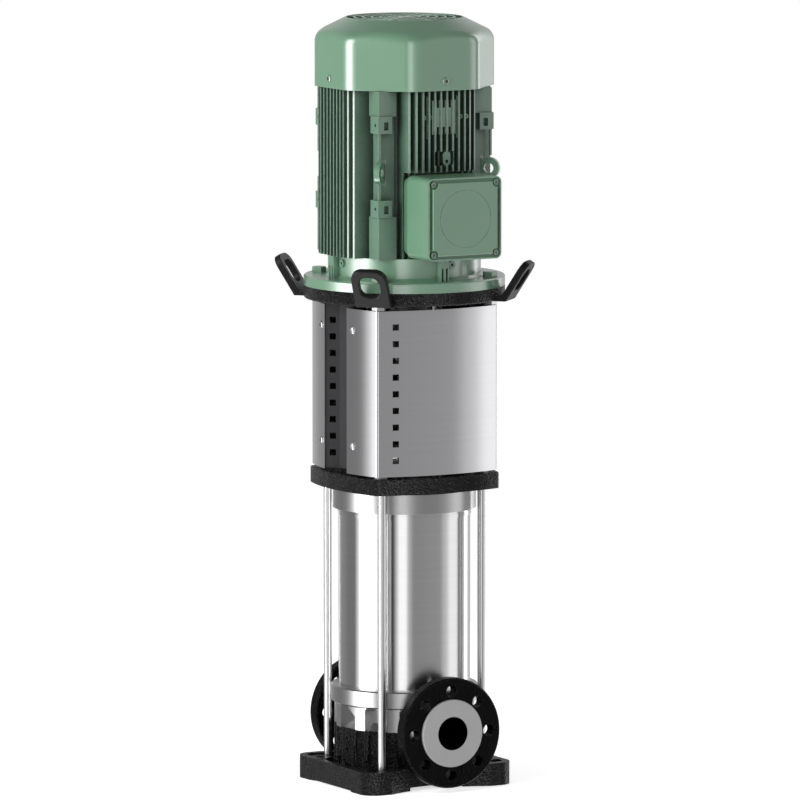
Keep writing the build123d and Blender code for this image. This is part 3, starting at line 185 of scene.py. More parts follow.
def number_mix(tree, share, first, second):
    """A number between a socket, at share 0, and a plain number, at share 1."""
    node = tree.nodes.new("ShaderNodeMix")
    node.data_type = "FLOAT"
    link(tree, share, node.inputs["Factor"])
    link(tree, first, node.inputs["A"])
    node.inputs["B"].default_value = second
    return node.outputs["Result"]


# %% [markdown]
# ## The studio
#
# What metal shows is the room around it, so the room has to have shapes in it: tall
# soft boxes with darker walls between them. Lamps could give those too, but here the
# world itself carries the bands, so that they surround the pump evenly and cost no
# extra noise. A band is a bearing off the camera, in degrees, and a brightness.

# %% Room bands
room_bands = [
    (-180, 0.50), (-160, 0.48), (-140, 0.28), (-110, 0.20), (-98, 0.20), (-88, 0.9), (-80, 4.2),
    (-58, 4.2), (-51, 1.4), (-43, 0.20), (-36, 0.04), (-20, 0.05), (-13, 0.7), (-9, 1.30),
    (2, 1.30), (8, 0.55), (17, 0.30), (64, 0.34), (76, 0.60), (90, 1.10), (105, 1.10), (110, 0.20),
    (127, 0.20), (132, 2.0), (141, 2.0), (148, 0.60), (180, 0.50),
]
brightest = max(brightness for _, brightness in room_bands)
print("room bands:", len(room_bands), "brightest:", brightest)

# %% Walls
world = bpy.data.worlds.new("studio_room")
world.use_nodes = True
bpy.context.scene.world = world
tree = world.node_tree
tree.nodes.clear()

direction = tree.nodes.new("ShaderNodeTexCoord").outputs["Generated"]
parts = tree.nodes.new("ShaderNodeSeparateXYZ")
link(tree, direction, parts.inputs[0])
bearing = math_node(tree, "ARCTAN2", parts.outputs["Y"], parts.outputs["X"])
turned = math_node(tree, "ADD", bearing, math.pi - camera_bearing)
share = math_node(tree, "FRACT", math_node(tree, "DIVIDE", turned, 2 * math.pi))

ramp = tree.nodes.new("ShaderNodeValToRGB")
ramp.color_ramp.interpolation = "EASE"
link(tree, share, ramp.inputs[0])
stops = ramp.color_ramp.elements
while len(stops) < len(room_bands):
    stops.new(0.5)
for stop, (angle, brightness) in zip(stops, room_bands):
    stop.position = (angle + 180) / 360
    stop.color = (brightness / brightest,) * 3 + (1,)
walls = math_node(tree, "MULTIPLY", ramp.outputs[0], brightest)
print("ramp stops:", len(stops))

# %% [markdown]
# ## Ceiling and background
#
# The bands fade into a dim ceiling, because tops of things mirror it. Seen straight by
# the camera the room is plain white, as in the picture. What the room adds to matt
# surfaces is one even level, so that the lamps alone decide which side of them is lit.

# %% Ceiling
ceiling_start = 0.35
ceiling_end = 0.8
ceiling_brightness = 0.14
even_brightness = 0.36

lift = tree.nodes.new("ShaderNodeMapRange")
lift.interpolation_type = "SMOOTHSTEP"
link(tree, parts.outputs["Z"], lift.inputs["Value"])
lift.inputs["From Min"].default_value = ceiling_start
lift.inputs["From Max"].default_value = ceiling_end
rays = tree.nodes.new("ShaderNodeLightPath")
mirrored = number_mix(tree, lift.outputs[0], walls, ceiling_brightness)
scattered = number_mix(tree, rays.outputs["Is Diffuse Ray"], mirrored, even_brightness)
print("ceiling starts at an upward share of", ceiling_start)

# %% Background
room = tree.nodes.new("ShaderNodeBackground")
room.inputs["Color"].default_value = (1, 1, 1, 1)
link(tree, scattered, room.inputs["Strength"])
white = tree.nodes.new("ShaderNodeBackground")
white.inputs["Color"].default_value = (1, 1, 1, 1)
white.inputs["Strength"].default_value = 1
chosen = tree.nodes.new("ShaderNodeMixShader")
link(tree, rays.outputs["Is Camera Ray"], chosen.inputs[0])
link(tree, room.outputs[0], chosen.inputs[1])
link(tree, white.outputs[0], chosen.inputs[2])
link(tree, chosen.outputs[0], tree.nodes.new("ShaderNodeOutputWorld").inputs[0])
print("world nodes:", len(tree.nodes))

# %% [markdown]
# ## Effects that several finishes share
#
# Cast iron has grain, sheet steel has brush lines, paint has a faint orange peel and
# wears thin on its edges, and dust settles on what faces up. Each effect is a node
# group with named inputs and outputs, built once and placed in each material with its
# own values. The groups put out masks and heights only, never a finished shader.

# %% Group tools
def new_group(name, inputs, outputs):
    """An empty shader node group with float or vector sockets, and its two ends.

    inputs maps a socket's name to its plain value, or to None for a vector."""
    group = bpy.data.node_groups.new(name, "ShaderNodeTree")
    for label, value in inputs.items():
        kind = "NodeSocketVector" if value is None else "NodeSocketFloat"
        socket = group.interface.new_socket(label, in_out="INPUT", socket_type=kind)
        if value is not None:
            socket.default_value = value
    for label in outputs:
        group.interface.new_socket(label, in_out="OUTPUT", socket_type="NodeSocketFloat")
    start = group.nodes.new("NodeGroupInput")
    end = group.nodes.new("NodeGroupOutput")
    print("group:", name, "puts out", outputs)
    return group, start.outputs, end.inputs


def noise(tree, vector, scale, detail=3.0, roughness=0.5):
    """A 3D noise texture; returns its value socket."""
    node = tree.nodes.new("ShaderNodeTexNoise")
    node.inputs["Detail"].default_value = detail
    node.inputs["Roughness"].default_value = roughness
    link(tree, vector, node.inputs["Vector"])
    if isinstance(scale, (int, float)):
        node.inputs["Scale"].default_value = scale
    else:
        link(tree, scale, node.inputs["Scale"])
    return node.outputs[0]


def stretched(tree, vector, factors):
    """The vector times a fixed vector, axis by axis."""
    node = tree.nodes.new("ShaderNodeVectorMath")
    node.operation = "MULTIPLY"
    link(tree, vector, node.inputs[0])
    node.inputs[1].default_value = factors
    return node.outputs[0]


# %% [markdown]
# ### Cast grain
#
# A sand casting shows the sand: grains of two or three millimetres, small pits between
# them, and slow swells of the mould. Noise gives the grains, the distance to scattered
# points gives the pits, and coarse noise gives the swells. Their sum is the height.

# %% Cast grain
pit_depth = 0.45
swell_height = 0.8
swells_per_metre = 38.0
speckle_start = 0.56
speckle_full = 0.72

cast_grain, sockets, ends = new_group(
    "cast_grain", {"Coordinates": None, "Grains per metre": 420.0}, ["Height", "Speckle"])
fine = noise(cast_grain, sockets["Coordinates"], sockets["Grains per metre"], detail=2.0, roughness=0.6)
pits = cast_grain.nodes.new("ShaderNodeTexVoronoi")
pits.inputs["Randomness"].default_value = 1.0
link(cast_grain, sockets["Coordinates"], pits.inputs["Vector"])
link(cast_grain, sockets["Grains per metre"], pits.inputs["Scale"])
swells = noise(cast_grain, sockets["Coordinates"], swells_per_metre, detail=2.0)
pit_part = math_node(cast_grain, "MULTIPLY", pits.outputs["Distance"], pit_depth)
swell_part = math_node(cast_grain, "MULTIPLY", swells, swell_height)
height = math_node(cast_grain, "ADD", math_node(cast_grain, "ADD", fine, pit_part), swell_part)
link(cast_grain, height, ends["Height"])
link(cast_grain, ranged(cast_grain, fine, speckle_start, speckle_full), ends["Speckle"])

# %% [markdown]
# ### Brush lines
#
# Sheet and tube were brushed crosswise, so their lines lie level. Noise whose space is
# squeezed across X and Y but not along Z changes only with height, which gives such
# lines on every side of the pump at once. A coarser set breaks them into fainter bands.

# %% Brush lines
line_squeeze = (0.004, 0.004, 1.0)
band_squeeze = (0.02, 0.02, 1.0)
bands_per_metre = 260.0
line_share = 0.6
band_share = 0.4
streak_range = (0.25, 0.75)

brush_lines, sockets, ends = new_group(
    "brush_lines", {"Coordinates": None, "Lines per metre": 900.0}, ["Height", "Streak"])
flat = stretched(brush_lines, sockets["Coordinates"], line_squeeze)
thin = noise(brush_lines, flat, sockets["Lines per metre"], detail=4.0, roughness=0.7)
flatter = stretched(brush_lines, sockets["Coordinates"], band_squeeze)
wide = noise(brush_lines, flatter, bands_per_metre, detail=3.0)
link(brush_lines, thin, ends["Height"])
thin_part = math_node(brush_lines, "MULTIPLY", thin, line_share)
wide_part = math_node(brush_lines, "MULTIPLY", wide, band_share)
streak = math_node(brush_lines, "ADD", thin_part, wide_part)
link(brush_lines, ranged(brush_lines, streak, *streak_range), ends["Streak"])

# %% [markdown]
# ### Edge wear
#
# Corners lose their paint or shine first. The Bevel node gives the normal that a
# rounded edge would have. Where that differs from the true normal there is an edge,
# and noise breaks the edge into chips. Painting a mask by hand would also work, but
# not on ninety solids.

# %% Edge wear
untouched = 0.999
worn_through = 0.93
chips_per_metre = 160.0
chip_range = (0.35, 0.7)

edge_wear, sockets, ends = new_group("edge_wear", {"Coordinates": None, "Width": 0.001}, ["Mask"])
rounded = edge_wear.nodes.new("ShaderNodeBevel")
rounded.samples = 4
link(edge_wear, sockets["Width"], rounded.inputs["Radius"])
surface = edge_wear.nodes.new("ShaderNodeNewGeometry")
agreement = edge_wear.nodes.new("ShaderNodeVectorMath")
agreement.operation = "DOT_PRODUCT"
link(edge_wear, rounded.outputs[0], agreement.inputs[0])
link(edge_wear, surface.outputs["Normal"], agreement.inputs[1])
edge = ranged(edge_wear, agreement.outputs["Value"], untouched, worn_through)
chips = noise(edge_wear, sockets["Coordinates"], chips_per_metre, detail=3.0)
chips = ranged(edge_wear, chips, *chip_range)
link(edge_wear, math_node(edge_wear, "MULTIPLY", edge, chips), ends["Mask"])

# %% [markdown]
# ### Settled dust
#
# Dust lies where the normal points up, in soft clouds. The upward part of the normal
# is the mask, so it needs no simulation and follows every new shape.

# %% Settled dust
lying_start = 0.55
dust_clouds_per_metre = 30.0
dust_cloud_range = (0.35, 0.75)

settled_dust, sockets, ends = new_group("settled_dust", {"Coordinates": None, "Amount": 0.3}, ["Mask"])
surface = settled_dust.nodes.new("ShaderNodeNewGeometry")
upward = settled_dust.nodes.new("ShaderNodeSeparateXYZ")
link(settled_dust, surface.outputs["Normal"], upward.inputs[0])
facing_up = ranged(settled_dust, upward.outputs["Z"], lying_start, 1.0)
clouds = noise(settled_dust, sockets["Coordinates"], dust_clouds_per_metre, detail=5.0)
mask = math_node(settled_dust, "MULTIPLY", facing_up, ranged(settled_dust, clouds, *dust_cloud_range))
link(settled_dust, math_node(settled_dust, "MULTIPLY", mask, sockets["Amount"]), ends["Mask"])

# %% [markdown]
# ### Recess shade
#
# Between the motor's fins and in the lid's groove the paint looks almost black, because
# little light gets in; that shade is painted into the colour. The Ambient Occlusion node
# measures how open a place is within a reach, and what is less open than the onset counts
# as a recess and gets painted shade, stronger in some patches than in others.

# %% Recess shade
# noise patches let the painted shade in recesses vary in strength
shade_patches_per_metre = 90.0
shade_patch_range = (0.2, 0.8)
weakest_shade_patch = 0.8
full_shade_depth = 0.5

recess_shade, sockets, ends = new_group(
    "recess_shade", {"Coordinates": None, "Reach": 0.01, "Onset": 0.75}, ["Mask"])
openness = recess_shade.nodes.new("ShaderNodeAmbientOcclusion")
openness.samples = 6
link(recess_shade, sockets["Reach"], openness.inputs["Distance"])
shade_patch = noise(recess_shade, sockets["Coordinates"], shade_patches_per_metre)
shade_patch = ranged(recess_shade, shade_patch, *shade_patch_range, weakest_shade_patch, 1.0)
below_onset = math_node(recess_shade, "SUBTRACT", sockets["Onset"], openness.outputs["AO"])
depth = ranged(recess_shade, below_onset, 0.0, full_shade_depth)
link(recess_shade, math_node(recess_shade, "MULTIPLY", depth, shade_patch), ends["Mask"])

# %% [markdown]
# ### Orange peel
#
# Sprayed enamel dries with a faint ripple like an orange's skin, and its colour is never
# quite even. Fine noise gives the ripple, and very coarse noise the clouds of colour.

# %% Orange peel
colour_clouds_per_metre = 14.0

orange_peel, sockets, ends = new_group(
    "orange_peel", {"Coordinates": None, "Size per metre": 700.0}, ["Height", "Clouds"])
ripple = noise(orange_peel, sockets["Coordinates"], sockets["Size per metre"], detail=1.0)
clouds = noise(orange_peel, sockets["Coordinates"], colour_clouds_per_metre, detail=4.0)
link(orange_peel, ripple, ends["Height"])
link(orange_peel, clouds, ends["Clouds"])

# %% [markdown]
# ### Port shade and rings
#
# Inside the two pipe ports it is dark, because little light gets in there, and that shade
# is painted into the colour. Their raised faces were turned in a lathe. Both follow from one
# number, the distance to the port's axis: the square root of the squares of the height
# above that axis and of Y.

# %% Port shade and rings
port_axis_height = 0.09
port_radius = 0.0256
port_face = 0.1492
ring_waves = 5200.0

port_shade_and_rings, sockets, ends = new_group("port_shade_and_rings", {"Coordinates": None}, ["Mask", "Rings"])
parts = port_shade_and_rings.nodes.new("ShaderNodeSeparateXYZ")
link(port_shade_and_rings, sockets["Coordinates"], parts.inputs[0])
up = math_node(port_shade_and_rings, "SUBTRACT", parts.outputs["Z"], port_axis_height)
squares = math_node(port_shade_and_rings, "ADD", math_node(port_shade_and_rings, "MULTIPLY", up, up),
                    math_node(port_shade_and_rings, "MULTIPLY", parts.outputs["Y"], parts.outputs["Y"]))
off_axis = math_node(port_shade_and_rings, "SQRT", squares)
inside = math_node(port_shade_and_rings, "LESS_THAN", off_axis, port_radius)
along = math_node(port_shade_and_rings, "ABSOLUTE", parts.outputs["X"])
behind = math_node(port_shade_and_rings, "LESS_THAN", along, port_face)
link(port_shade_and_rings, math_node(port_shade_and_rings, "MULTIPLY", inside, behind), ends["Mask"])
rings = math_node(port_shade_and_rings, "SINE", math_node(port_shade_and_rings, "MULTIPLY", off_axis, ring_waves))
link(port_shade_and_rings, rings, ends["Rings"])

# %% [markdown]
# ## Finishes
#
# A finish is one material: a Principled shader in the open, with the shared groups
# feeding its colour, roughness and bump. A small workbench keeps each one short:
# it makes the shader, the coordinates and the bump, and the finish adds the rest.

# %% Workbench
finishes = {}


class Finish:
    """A material with its Principled shader, Object coordinates and one Bump node."""

    def __init__(self, name, roughness, metallic=0.0, bump=0.0, bump_distance=0.0005, **constants):
        self.material = bpy.data.materials.new(name)
        self.material.use_nodes = True
        self.tree = self.material.node_tree
        self.shader = self.tree.nodes["Principled BSDF"]
        self.shader.inputs["Roughness"].default_value = roughness
        self.shader.inputs["Metallic"].default_value = metallic
        for label, value in constants.items():
            self.shader.inputs[label.replace("_", " ")].default_value = value
        self.coordinates = self.tree.nodes.new("ShaderNodeTexCoord").outputs["Object"]
        self.bump = None
        if bump:
            self.bump = self.tree.nodes.new("ShaderNodeBump")
            self.bump.inputs["Strength"].default_value = bump
            self.bump.inputs["Distance"].default_value = bump_distance
            link(self.tree, self.bump.outputs[0], self.shader.inputs["Normal"])
        finishes[name] = self.material
        print("finish:", name)

    def effect(self, group, **values):
        """Place a shared group and feed it the coordinates."""
        node = self.tree.nodes.new("ShaderNodeGroup")
        node.node_tree = group
        link(self.tree, self.coordinates, node.inputs["Coordinates"])
        for label, value in values.items():
            node.inputs[label.replace("_", " ")].default_value = value
        return node.outputs

    def mix(self, share, first, second):
        """Colour between two, each a colour or a socket."""
        node = self.tree.nodes.new("ShaderNodeMix")
        node.data_type = "RGBA"
        link(self.tree, share, node.inputs["Factor"])
        for label, value in (("A", first), ("B", second)):
            socket = [s for s in node.inputs if s.name == label and s.type == "RGBA"][0]
            if isinstance(value, tuple):
                socket.default_value = (*value, 1)
            else:
                link(self.tree, value, socket)
        return [s for s in node.outputs if s.type == "RGBA"][0]

    def colour(self, socket):
        """Feed the shader's colour."""
        link(self.tree, socket, self.shader.inputs["Base Color"])

    def roughness(self, share, low, high):
        """Let the roughness run from low to high with a mask."""
        link(self.tree, ranged(self.tree, share, 0, 1, low, high), self.shader.inputs["Roughness"])

    def height(self, socket):
        """Feed the bump, if the finish has one."""
        if self.bump:
            link(self.tree, socket, self.bump.inputs["Height"])


# %% [markdown]
# ### Green paint
#
# The motor wears one green enamel. A single colour looks like plastic, so two close
# greens drift into each other, recesses get painted shade and lose their gloss, edges are
# pale and dust lies on top. A clear coat over a dense base gives the strong, slightly soft
# highlights of stove enamel. On the castings the same paint is duller than on the pressed
# cover, and its green is made a little darker there as painted shade, so those get values
# of their own.

# %% Green paint
dust_colour = (0.34, 0.37, 0.34)
dust_amount = 0.03
ripples_per_metre = 650.0
paint_edge = 0.0009
two_greens_range = (0.35, 0.65)
dull_in_recess = 0.35
coat_gone_at = 0.6


def green_paint(name, light, shade, worn, roughness, gloss, reach=0.016, onset=0.75,
                crevice=(0.003, 0.022, 0.010)):
    """Enamel over metal: two close greens in soft clouds, painted shade in crevices, pale worn edges.

    gloss is the roughness of the clear top layer, which thins out inside crevices.
    reach is how far apart two walls may stand and still shade each other, and onset is
    how open a place may be and still count as a crevice."""
    finish = Finish(name, roughness, bump=0.04, bump_distance=0.0002,
                    IOR=2.4, Coat_Roughness=gloss, Coat_IOR=2.0)
    tree = finish.tree
    peel = finish.effect(orange_peel, Size_per_metre=ripples_per_metre)
    wear = finish.effect(edge_wear, Width=paint_edge)
    settled = finish.effect(settled_dust, Amount=dust_amount)
    deep = finish.effect(recess_shade, Reach=reach, Onset=onset)
    body = finish.mix(ranged(tree, peel["Clouds"], *two_greens_range), shade, light)
    # painted shade: the recess mask turns the colour towards the near-black crevice colour
    body = finish.mix(deep["Mask"], body, crevice)
    body = finish.mix(wear["Mask"], body, worn)
    finish.colour(finish.mix(settled["Mask"], body, dust_colour))
    finish.roughness(deep["Mask"], roughness, roughness + dull_in_recess)
    link(tree, ranged(tree, deep["Mask"], 0.0, coat_gone_at, 1.0, 0.0), finish.shader.inputs["Coat Weight"])
    finish.height(peel["Height"])


green_paint("motor_green", light=(0.114, 0.256, 0.151), shade=(0.104, 0.241, 0.139),
            worn=(0.34, 0.48, 0.38), roughness=0.34, gloss=0.20)
# frame_green and box_green: the motor's enamel, duller, with a darker green as painted shade; box_green's
# crevice colour is a lighter painted shade for the lid's groove
green_paint("frame_green", light=(0.090, 0.205, 0.124), shade=(0.076, 0.180, 0.106),
            worn=(0.40, 0.54, 0.44), roughness=0.42, gloss=0.28, reach=0.055, onset=0.93)
green_paint("box_green", light=(0.100, 0.245, 0.138), shade=(0.090, 0.228, 0.126),
            worn=(0.32, 0.46, 0.36), roughness=0.40, gloss=0.30, reach=0.006,
            crevice=(0.050, 0.140, 0.076))
green_paint("green_screw", light=(0.110, 0.200, 0.132), shade=(0.095, 0.180, 0.118),
            worn=(0.36, 0.44, 0.38), roughness=0.28, gloss=0.16)

# %% [markdown]
# ### Brushed steel
#
# Fine grooves spread a reflection across themselves, so level brushing draws what the
# sleeve and the guards mirror out up and down into long upright bands. Bump alone would
# need grooves far finer than a pixel, so the shader's anisotropy does it, and the bump
# only adds the few lines that can be seen. The tangent runs round the upright axis and
# is given a quarter turn, so that it stands upright.

# %% Brushed steel
bright_edge = (0.92, 0.92, 0.93)
quarter_turn = 0.25
lines_per_metre = 900.0


def brushed_steel(name, bright, dull, roughness, bump=0.012, smear=0.0, edge=0.0008):
    """Stainless steel brushed crosswise: fine level lines in colour and bump.

    smear is how far reflections are drawn out across the lines, and edge is the width
    of the bright line along a corner."""
    finish = Finish(name, roughness, metallic=1.0, bump=bump, bump_distance=0.0001,
                    Anisotropic=smear, Anisotropic_Rotation=quarter_turn)
    brush = finish.effect(brush_lines, Lines_per_metre=lines_per_metre)
    body = finish.mix(brush["Streak"], dull, bright)
    if edge:
        wear = finish.effect(edge_wear, Width=edge)
        body = finish.mix(wear["Mask"], body, bright_edge)
    finish.colour(body)
    finish.height(brush["Height"])
    if smear:
        around = finish.tree.nodes.new("ShaderNodeTangent")
        around.direction_type = "RADIAL"
        around.axis = "Z"
        link(finish.tree, around.outputs[0], finish.shader.inputs["Tangent"])


brushed_steel("sleeve_steel", bright=(0.79, 0.785, 0.79), dull=(0.72, 0.715, 0.72),
              roughness=0.18, smear=0.95, edge=0.0)
brushed_steel("guard_steel", bright=(0.83, 0.82, 0.84), dull=(0.78, 0.77, 0.79),
              roughness=0.24, bump=0.006, smear=0.9)
brushed_steel("rod_steel", bright=(0.86, 0.86, 0.87), dull=(0.83, 0.83, 0.84),
              roughness=0.30, bump=0.0, edge=0.0)
brushed_steel("screw_steel", bright=(0.84, 0.84, 0.85), dull=(0.66, 0.66, 0.67), roughness=0.20)
brushed_steel("shaft_steel", bright=(0.80, 0.80, 0.81), dull=(0.68, 0.68, 0.69), roughness=0.20)
brushed_steel("stage_steel", bright=(0.76, 0.755, 0.76), dull=(0.62, 0.615, 0.62), roughness=0.32)

# %% [markdown]
# ### Cast steel
#
# The pump's body and head cover are stainless castings, blasted to a satin skin. They
# mirror the room only as broad soft light, so a rougher metal without direction and a
# very fine grain is enough. The coupling and the motor's cores are the same, but darker.

# %% Cast steel
# near-black painted shade for the inside of the ports
port_shade_black = (0.02, 0.02, 0.021)
rubbed_steel = (0.88, 0.88, 0.89)
rubbed_edge = 0.0010
smoother_skin = 0.04
rougher_speckle = 0.08


def cast_steel(name, bright, dull, roughness, grains, bump):
    """Blasted casting: satin metal with a fine grain and no direction."""
    finish = Finish(name, roughness, metallic=1.0, bump=bump, bump_distance=0.0002)
    grain = finish.effect(cast_grain, Grains_per_metre=grains)
    wear = finish.effect(edge_wear, Width=rubbed_edge)
    shade_and_rings = finish.effect(port_shade_and_rings)
    body = finish.mix(grain["Speckle"], bright, dull)
    body = finish.mix(wear["Mask"], body, rubbed_steel)
    # painted shade: the inside of the ports turns near black
    finish.colour(finish.mix(shade_and_rings["Mask"], body, port_shade_black))
    finish.roughness(grain["Speckle"], roughness - smoother_skin, roughness + rougher_speckle)
    finish.height(grain["Height"])


cast_steel("steel_casting", bright=(0.56, 0.555, 0.555), dull=(0.47, 0.465, 0.47),
           roughness=0.34, grains=700.0, bump=0.08)
cast_steel("coupling_iron", bright=(0.40, 0.40, 0.41), dull=(0.28, 0.28, 0.29),
           roughness=0.42, grains=600.0, bump=0.20)
cast_steel("core_steel", bright=(0.36, 0.36, 0.37), dull=(0.26, 0.26, 0.27),
           roughness=0.45, grains=900.0, bump=0.15)

# %% [markdown]
# ### Black castings
#
# Foot, lantern and flanges are sand castings under thin black enamel. Nearly all that
# shows is the grain catching light, so the colour is almost nothing and the bump is
# deep: several millimetres of distance on the foot, less on the flanges. A fan blade
# or a rubber ring is the same finish with finer, shallower grain.

# %% Black castings
bare_edge = (0.045, 0.045, 0.045)
bare_edge_width = 0.0012
dust_on_black = (0.06, 0.06, 0.057)
grain_gloss = 0.12


def black_iron(name, tone, speckle, roughness, grains, bump, distance, dust, gleam=0.25):
    """Black enamel over rough iron: grains catch the light, and dust lies on top.

    tone and speckle are the grey of the hollows and of the grains, distance is the
    grain's depth in metres, and gleam is how much of the room the enamel mirrors."""
    finish = Finish(name, roughness, bump=bump, bump_distance=distance, Specular_IOR_Level=gleam)
    grain = finish.effect(cast_grain, Grains_per_metre=grains)
    wear = finish.effect(edge_wear, Width=bare_edge_width)
    settled = finish.effect(settled_dust, Amount=dust)
    body = finish.mix(grain["Speckle"], (tone,) * 3, (speckle,) * 3)
    body = finish.mix(wear["Mask"], body, bare_edge)
    finish.colour(finish.mix(settled["Mask"], body, dust_on_black))
    finish.roughness(grain["Speckle"], roughness, roughness - grain_gloss)
    finish.height(grain["Height"])


black_iron("black_casting", tone=0.0015, speckle=0.030, roughness=0.30, grains=300.0,
           bump=1.0, distance=0.0065, dust=0.01, gleam=0.38)
black_iron("black_flange", tone=0.0012, speckle=0.004, roughness=0.34, grains=300.0,
           bump=0.6, distance=0.0016, dust=0.0, gleam=0.10)
black_iron("black_lug", tone=0.006, speckle=0.009, roughness=0.40, grains=900.0,
           bump=0.12, distance=0.0004, dust=0.04)
black_iron("fan_plastic", tone=0.020, speckle=0.028, roughness=0.50, grains=500.0,
           bump=0.10, distance=0.0003, dust=0.10)
black_iron("seal_rubber", tone=0.012, speckle=0.016, roughness=0.60, grains=700.0,
           bump=0.10, distance=0.0002, dust=0.0)

# %% [markdown]
# ### Turned face
#
# The raised faces of the ports are bare metal with the rings of the lathe tool. The
# rings are a sine of the distance to the port's axis, so they need no texture map.

# %% Turned face
ring_tint = 0.25
ring_height = 0.5
face_grains_per_metre = 900.0
face_tone_range = (0.6, 1.5)


def turned_face(name, light, dark, roughness):
    """Face turned in a lathe: fine rings about the port's axis, worked out from the
    distance to that axis, on bare grey metal."""
    finish = Finish(name, roughness, metallic=0.5, bump=0.25, bump_distance=0.0002)
    tree = finish.tree
    shade_and_rings = finish.effect(port_shade_and_rings)
    grain = finish.effect(cast_grain, Grains_per_metre=face_grains_per_metre)
    share = math_node(tree, "ADD", math_node(tree, "MULTIPLY", shade_and_rings["Rings"], ring_tint), grain["Height"])
    body = finish.mix(ranged(tree, share, *face_tone_range), dark, light)
    # painted shade: the inside of the ports turns near black
    finish.colour(finish.mix(shade_and_rings["Mask"], body, port_shade_black))
    finish.height(math_node(tree, "MULTIPLY", shade_and_rings["Rings"], ring_height))


turned_face("collar_face", light=(0.54, 0.54, 0.54), dark=(0.47, 0.47, 0.47), roughness=0.45)

# %% [markdown]
# ### Dry surfaces
#
# The vent channels are dark coated sheet, their grey made darker still as painted shade for
# the recessed channel, and inside the pump there are a ceramic bush, a copper winding and a
# plastic board. All are dry and even, with a fine grain in two close tones, so one function
# with a few values serves them.

# %% Dry surfaces
dry_tone_range = (0.7, 1.3)
rougher_grain = 0.1


def plain_grained(name, light, dark, roughness, grains, bump, metallic=0.0):
    """A dry surface with fine grain in two close tones."""
    finish = Finish(name, roughness, metallic=metallic, bump=bump, bump_distance=0.0002)
    grain = finish.effect(cast_grain, Grains_per_metre=grains)
    finish.colour(finish.mix(ranged(finish.tree, grain["Height"], *dry_tone_range), dark, light))
    finish.roughness(grain["Speckle"], roughness, roughness + rougher_grain)
    finish.height(grain["Height"])


# vent_grey: dark coated sheet, made darker still as painted shade for the recessed channel
plain_grained("vent_grey", light=(0.028, 0.027, 0.029), dark=(0.023, 0.022, 0.024),
              roughness=0.6, grains=800.0, bump=0.08)
plain_grained("bush_ceramic", light=(0.10, 0.10, 0.105), dark=(0.07, 0.07, 0.075),
              roughness=0.25, grains=900.0, bump=0.05)
plain_grained("winding_copper", light=(0.60, 0.26, 0.13), dark=(0.42, 0.16, 0.08),
              roughness=0.35, grains=500.0, bump=0.3, metallic=0.9)
plain_grained("board_plastic", light=(0.10, 0.075, 0.05), dark=(0.07, 0.05, 0.035),
              roughness=0.45, grains=700.0, bump=0.08)

# %% [markdown]
# ## Dressing the solids
#
# The record names the finish that every node takes, so each solid gets the material
# of the same name. The finned casting and the terminal box are the exceptions: they
# wear the same green as the pressed cover, but paint on a casting is duller than on sheet,
# and their green is a little darker as painted shade.

# %% Dress
# the finned casting and the terminal box take duller greens, darker as painted shade
duller_and_shaded = {"stator_frame": "frame_green", "terminal_box": "box_green", "terminal_lid": "box_green"}
slots = {row["node"]: row["material_slot"] for row in frame["record"]["subparts"]}
for node, slot in slots.items():
    piece = frame["nodes"][node]
    if not piece.material_slots:
        piece.data.materials.append(None)
    for place_for_finish in piece.material_slots:
        place_for_finish.material = finishes[duller_and_shaded.get(node, slot)]
print("dressed:", len(slots), "nodes in", len(set(slots.values())), "finishes")

# %% [markdown]
# ## Screw heads
#
# As solids the small screws have plain drum heads with a socket, which is all that their
# size needs there. On the real pump they are button heads: a low dome over a thin rim,
# with a hexagonal socket. One surface of rings makes such a head, and it is carried on
# the axis of the screw that it stands for. The screw's own points tell where that axis
# is, so the heads follow the solids wherever those go. The guard screws lie one in each
# octant and the cover's screws on four sides, so a few signs tell them apart.

# %% Screw axes
def screw_axes(node, parting):
    """Top of the head and outward direction of every screw in a node.

    parting holds directions: the signs of a point's distances along them, from the middle
    of the node, tell which screw it belongs to. A screw points the way in which its own
    points spread most, the first right singular vector of the centred points."""
    mesh = frame["nodes"][node].data
    points = np.empty(3 * len(mesh.vertices))
    mesh.vertices.foreach_get("co", points)
    points = np.unique(points.reshape(-1, 3).round(6), axis=0)
    middle = (points.min(0) + points.max(0)) / 2
    group = ((points - middle) @ np.array(parting, float).T > 0) @ (2 ** np.arange(len(parting)))
    axes = []
    for number in np.unique(group):
        screw = points[group == number]
        centre = screw.mean(0)
        normal = np.linalg.svd(screw - centre, full_matrices=False)[2][0]
        normal = normal * np.sign(normal @ (centre * (1, 1, 0)))
        axes.append((centre + normal * ((screw - centre) @ normal).max(), normal))
    print(node, "screws:", len(axes))
    return axes


guard_screw_axes = screw_axes("guard_screws", ((1, 0, 0), (0, 1, 0), (0, 0, 1)))
cover_screw_axes = screw_axes("fan_cover_screws", ((1, 1, 0), (1, -1, 0)))

# %% [markdown]
# ## One head, many places
#
# A head is ten rings: the seat, seven rings up the dome, the socket's mouth and its
# floor. The dome is a quarter ellipse, which is how a pressed head is rounded, and the
# socket's rings are hexagons. Each ring is a distance from the axis and a level along
# it, so placing a head is one sum of three directions.

# %% Button heads
head_columns = 48
dome_rings = 7
rim_share = 0.3
socket_floor_share = 0.03
flat_round_socket = 1.15
sharp_above = math.radians(38)


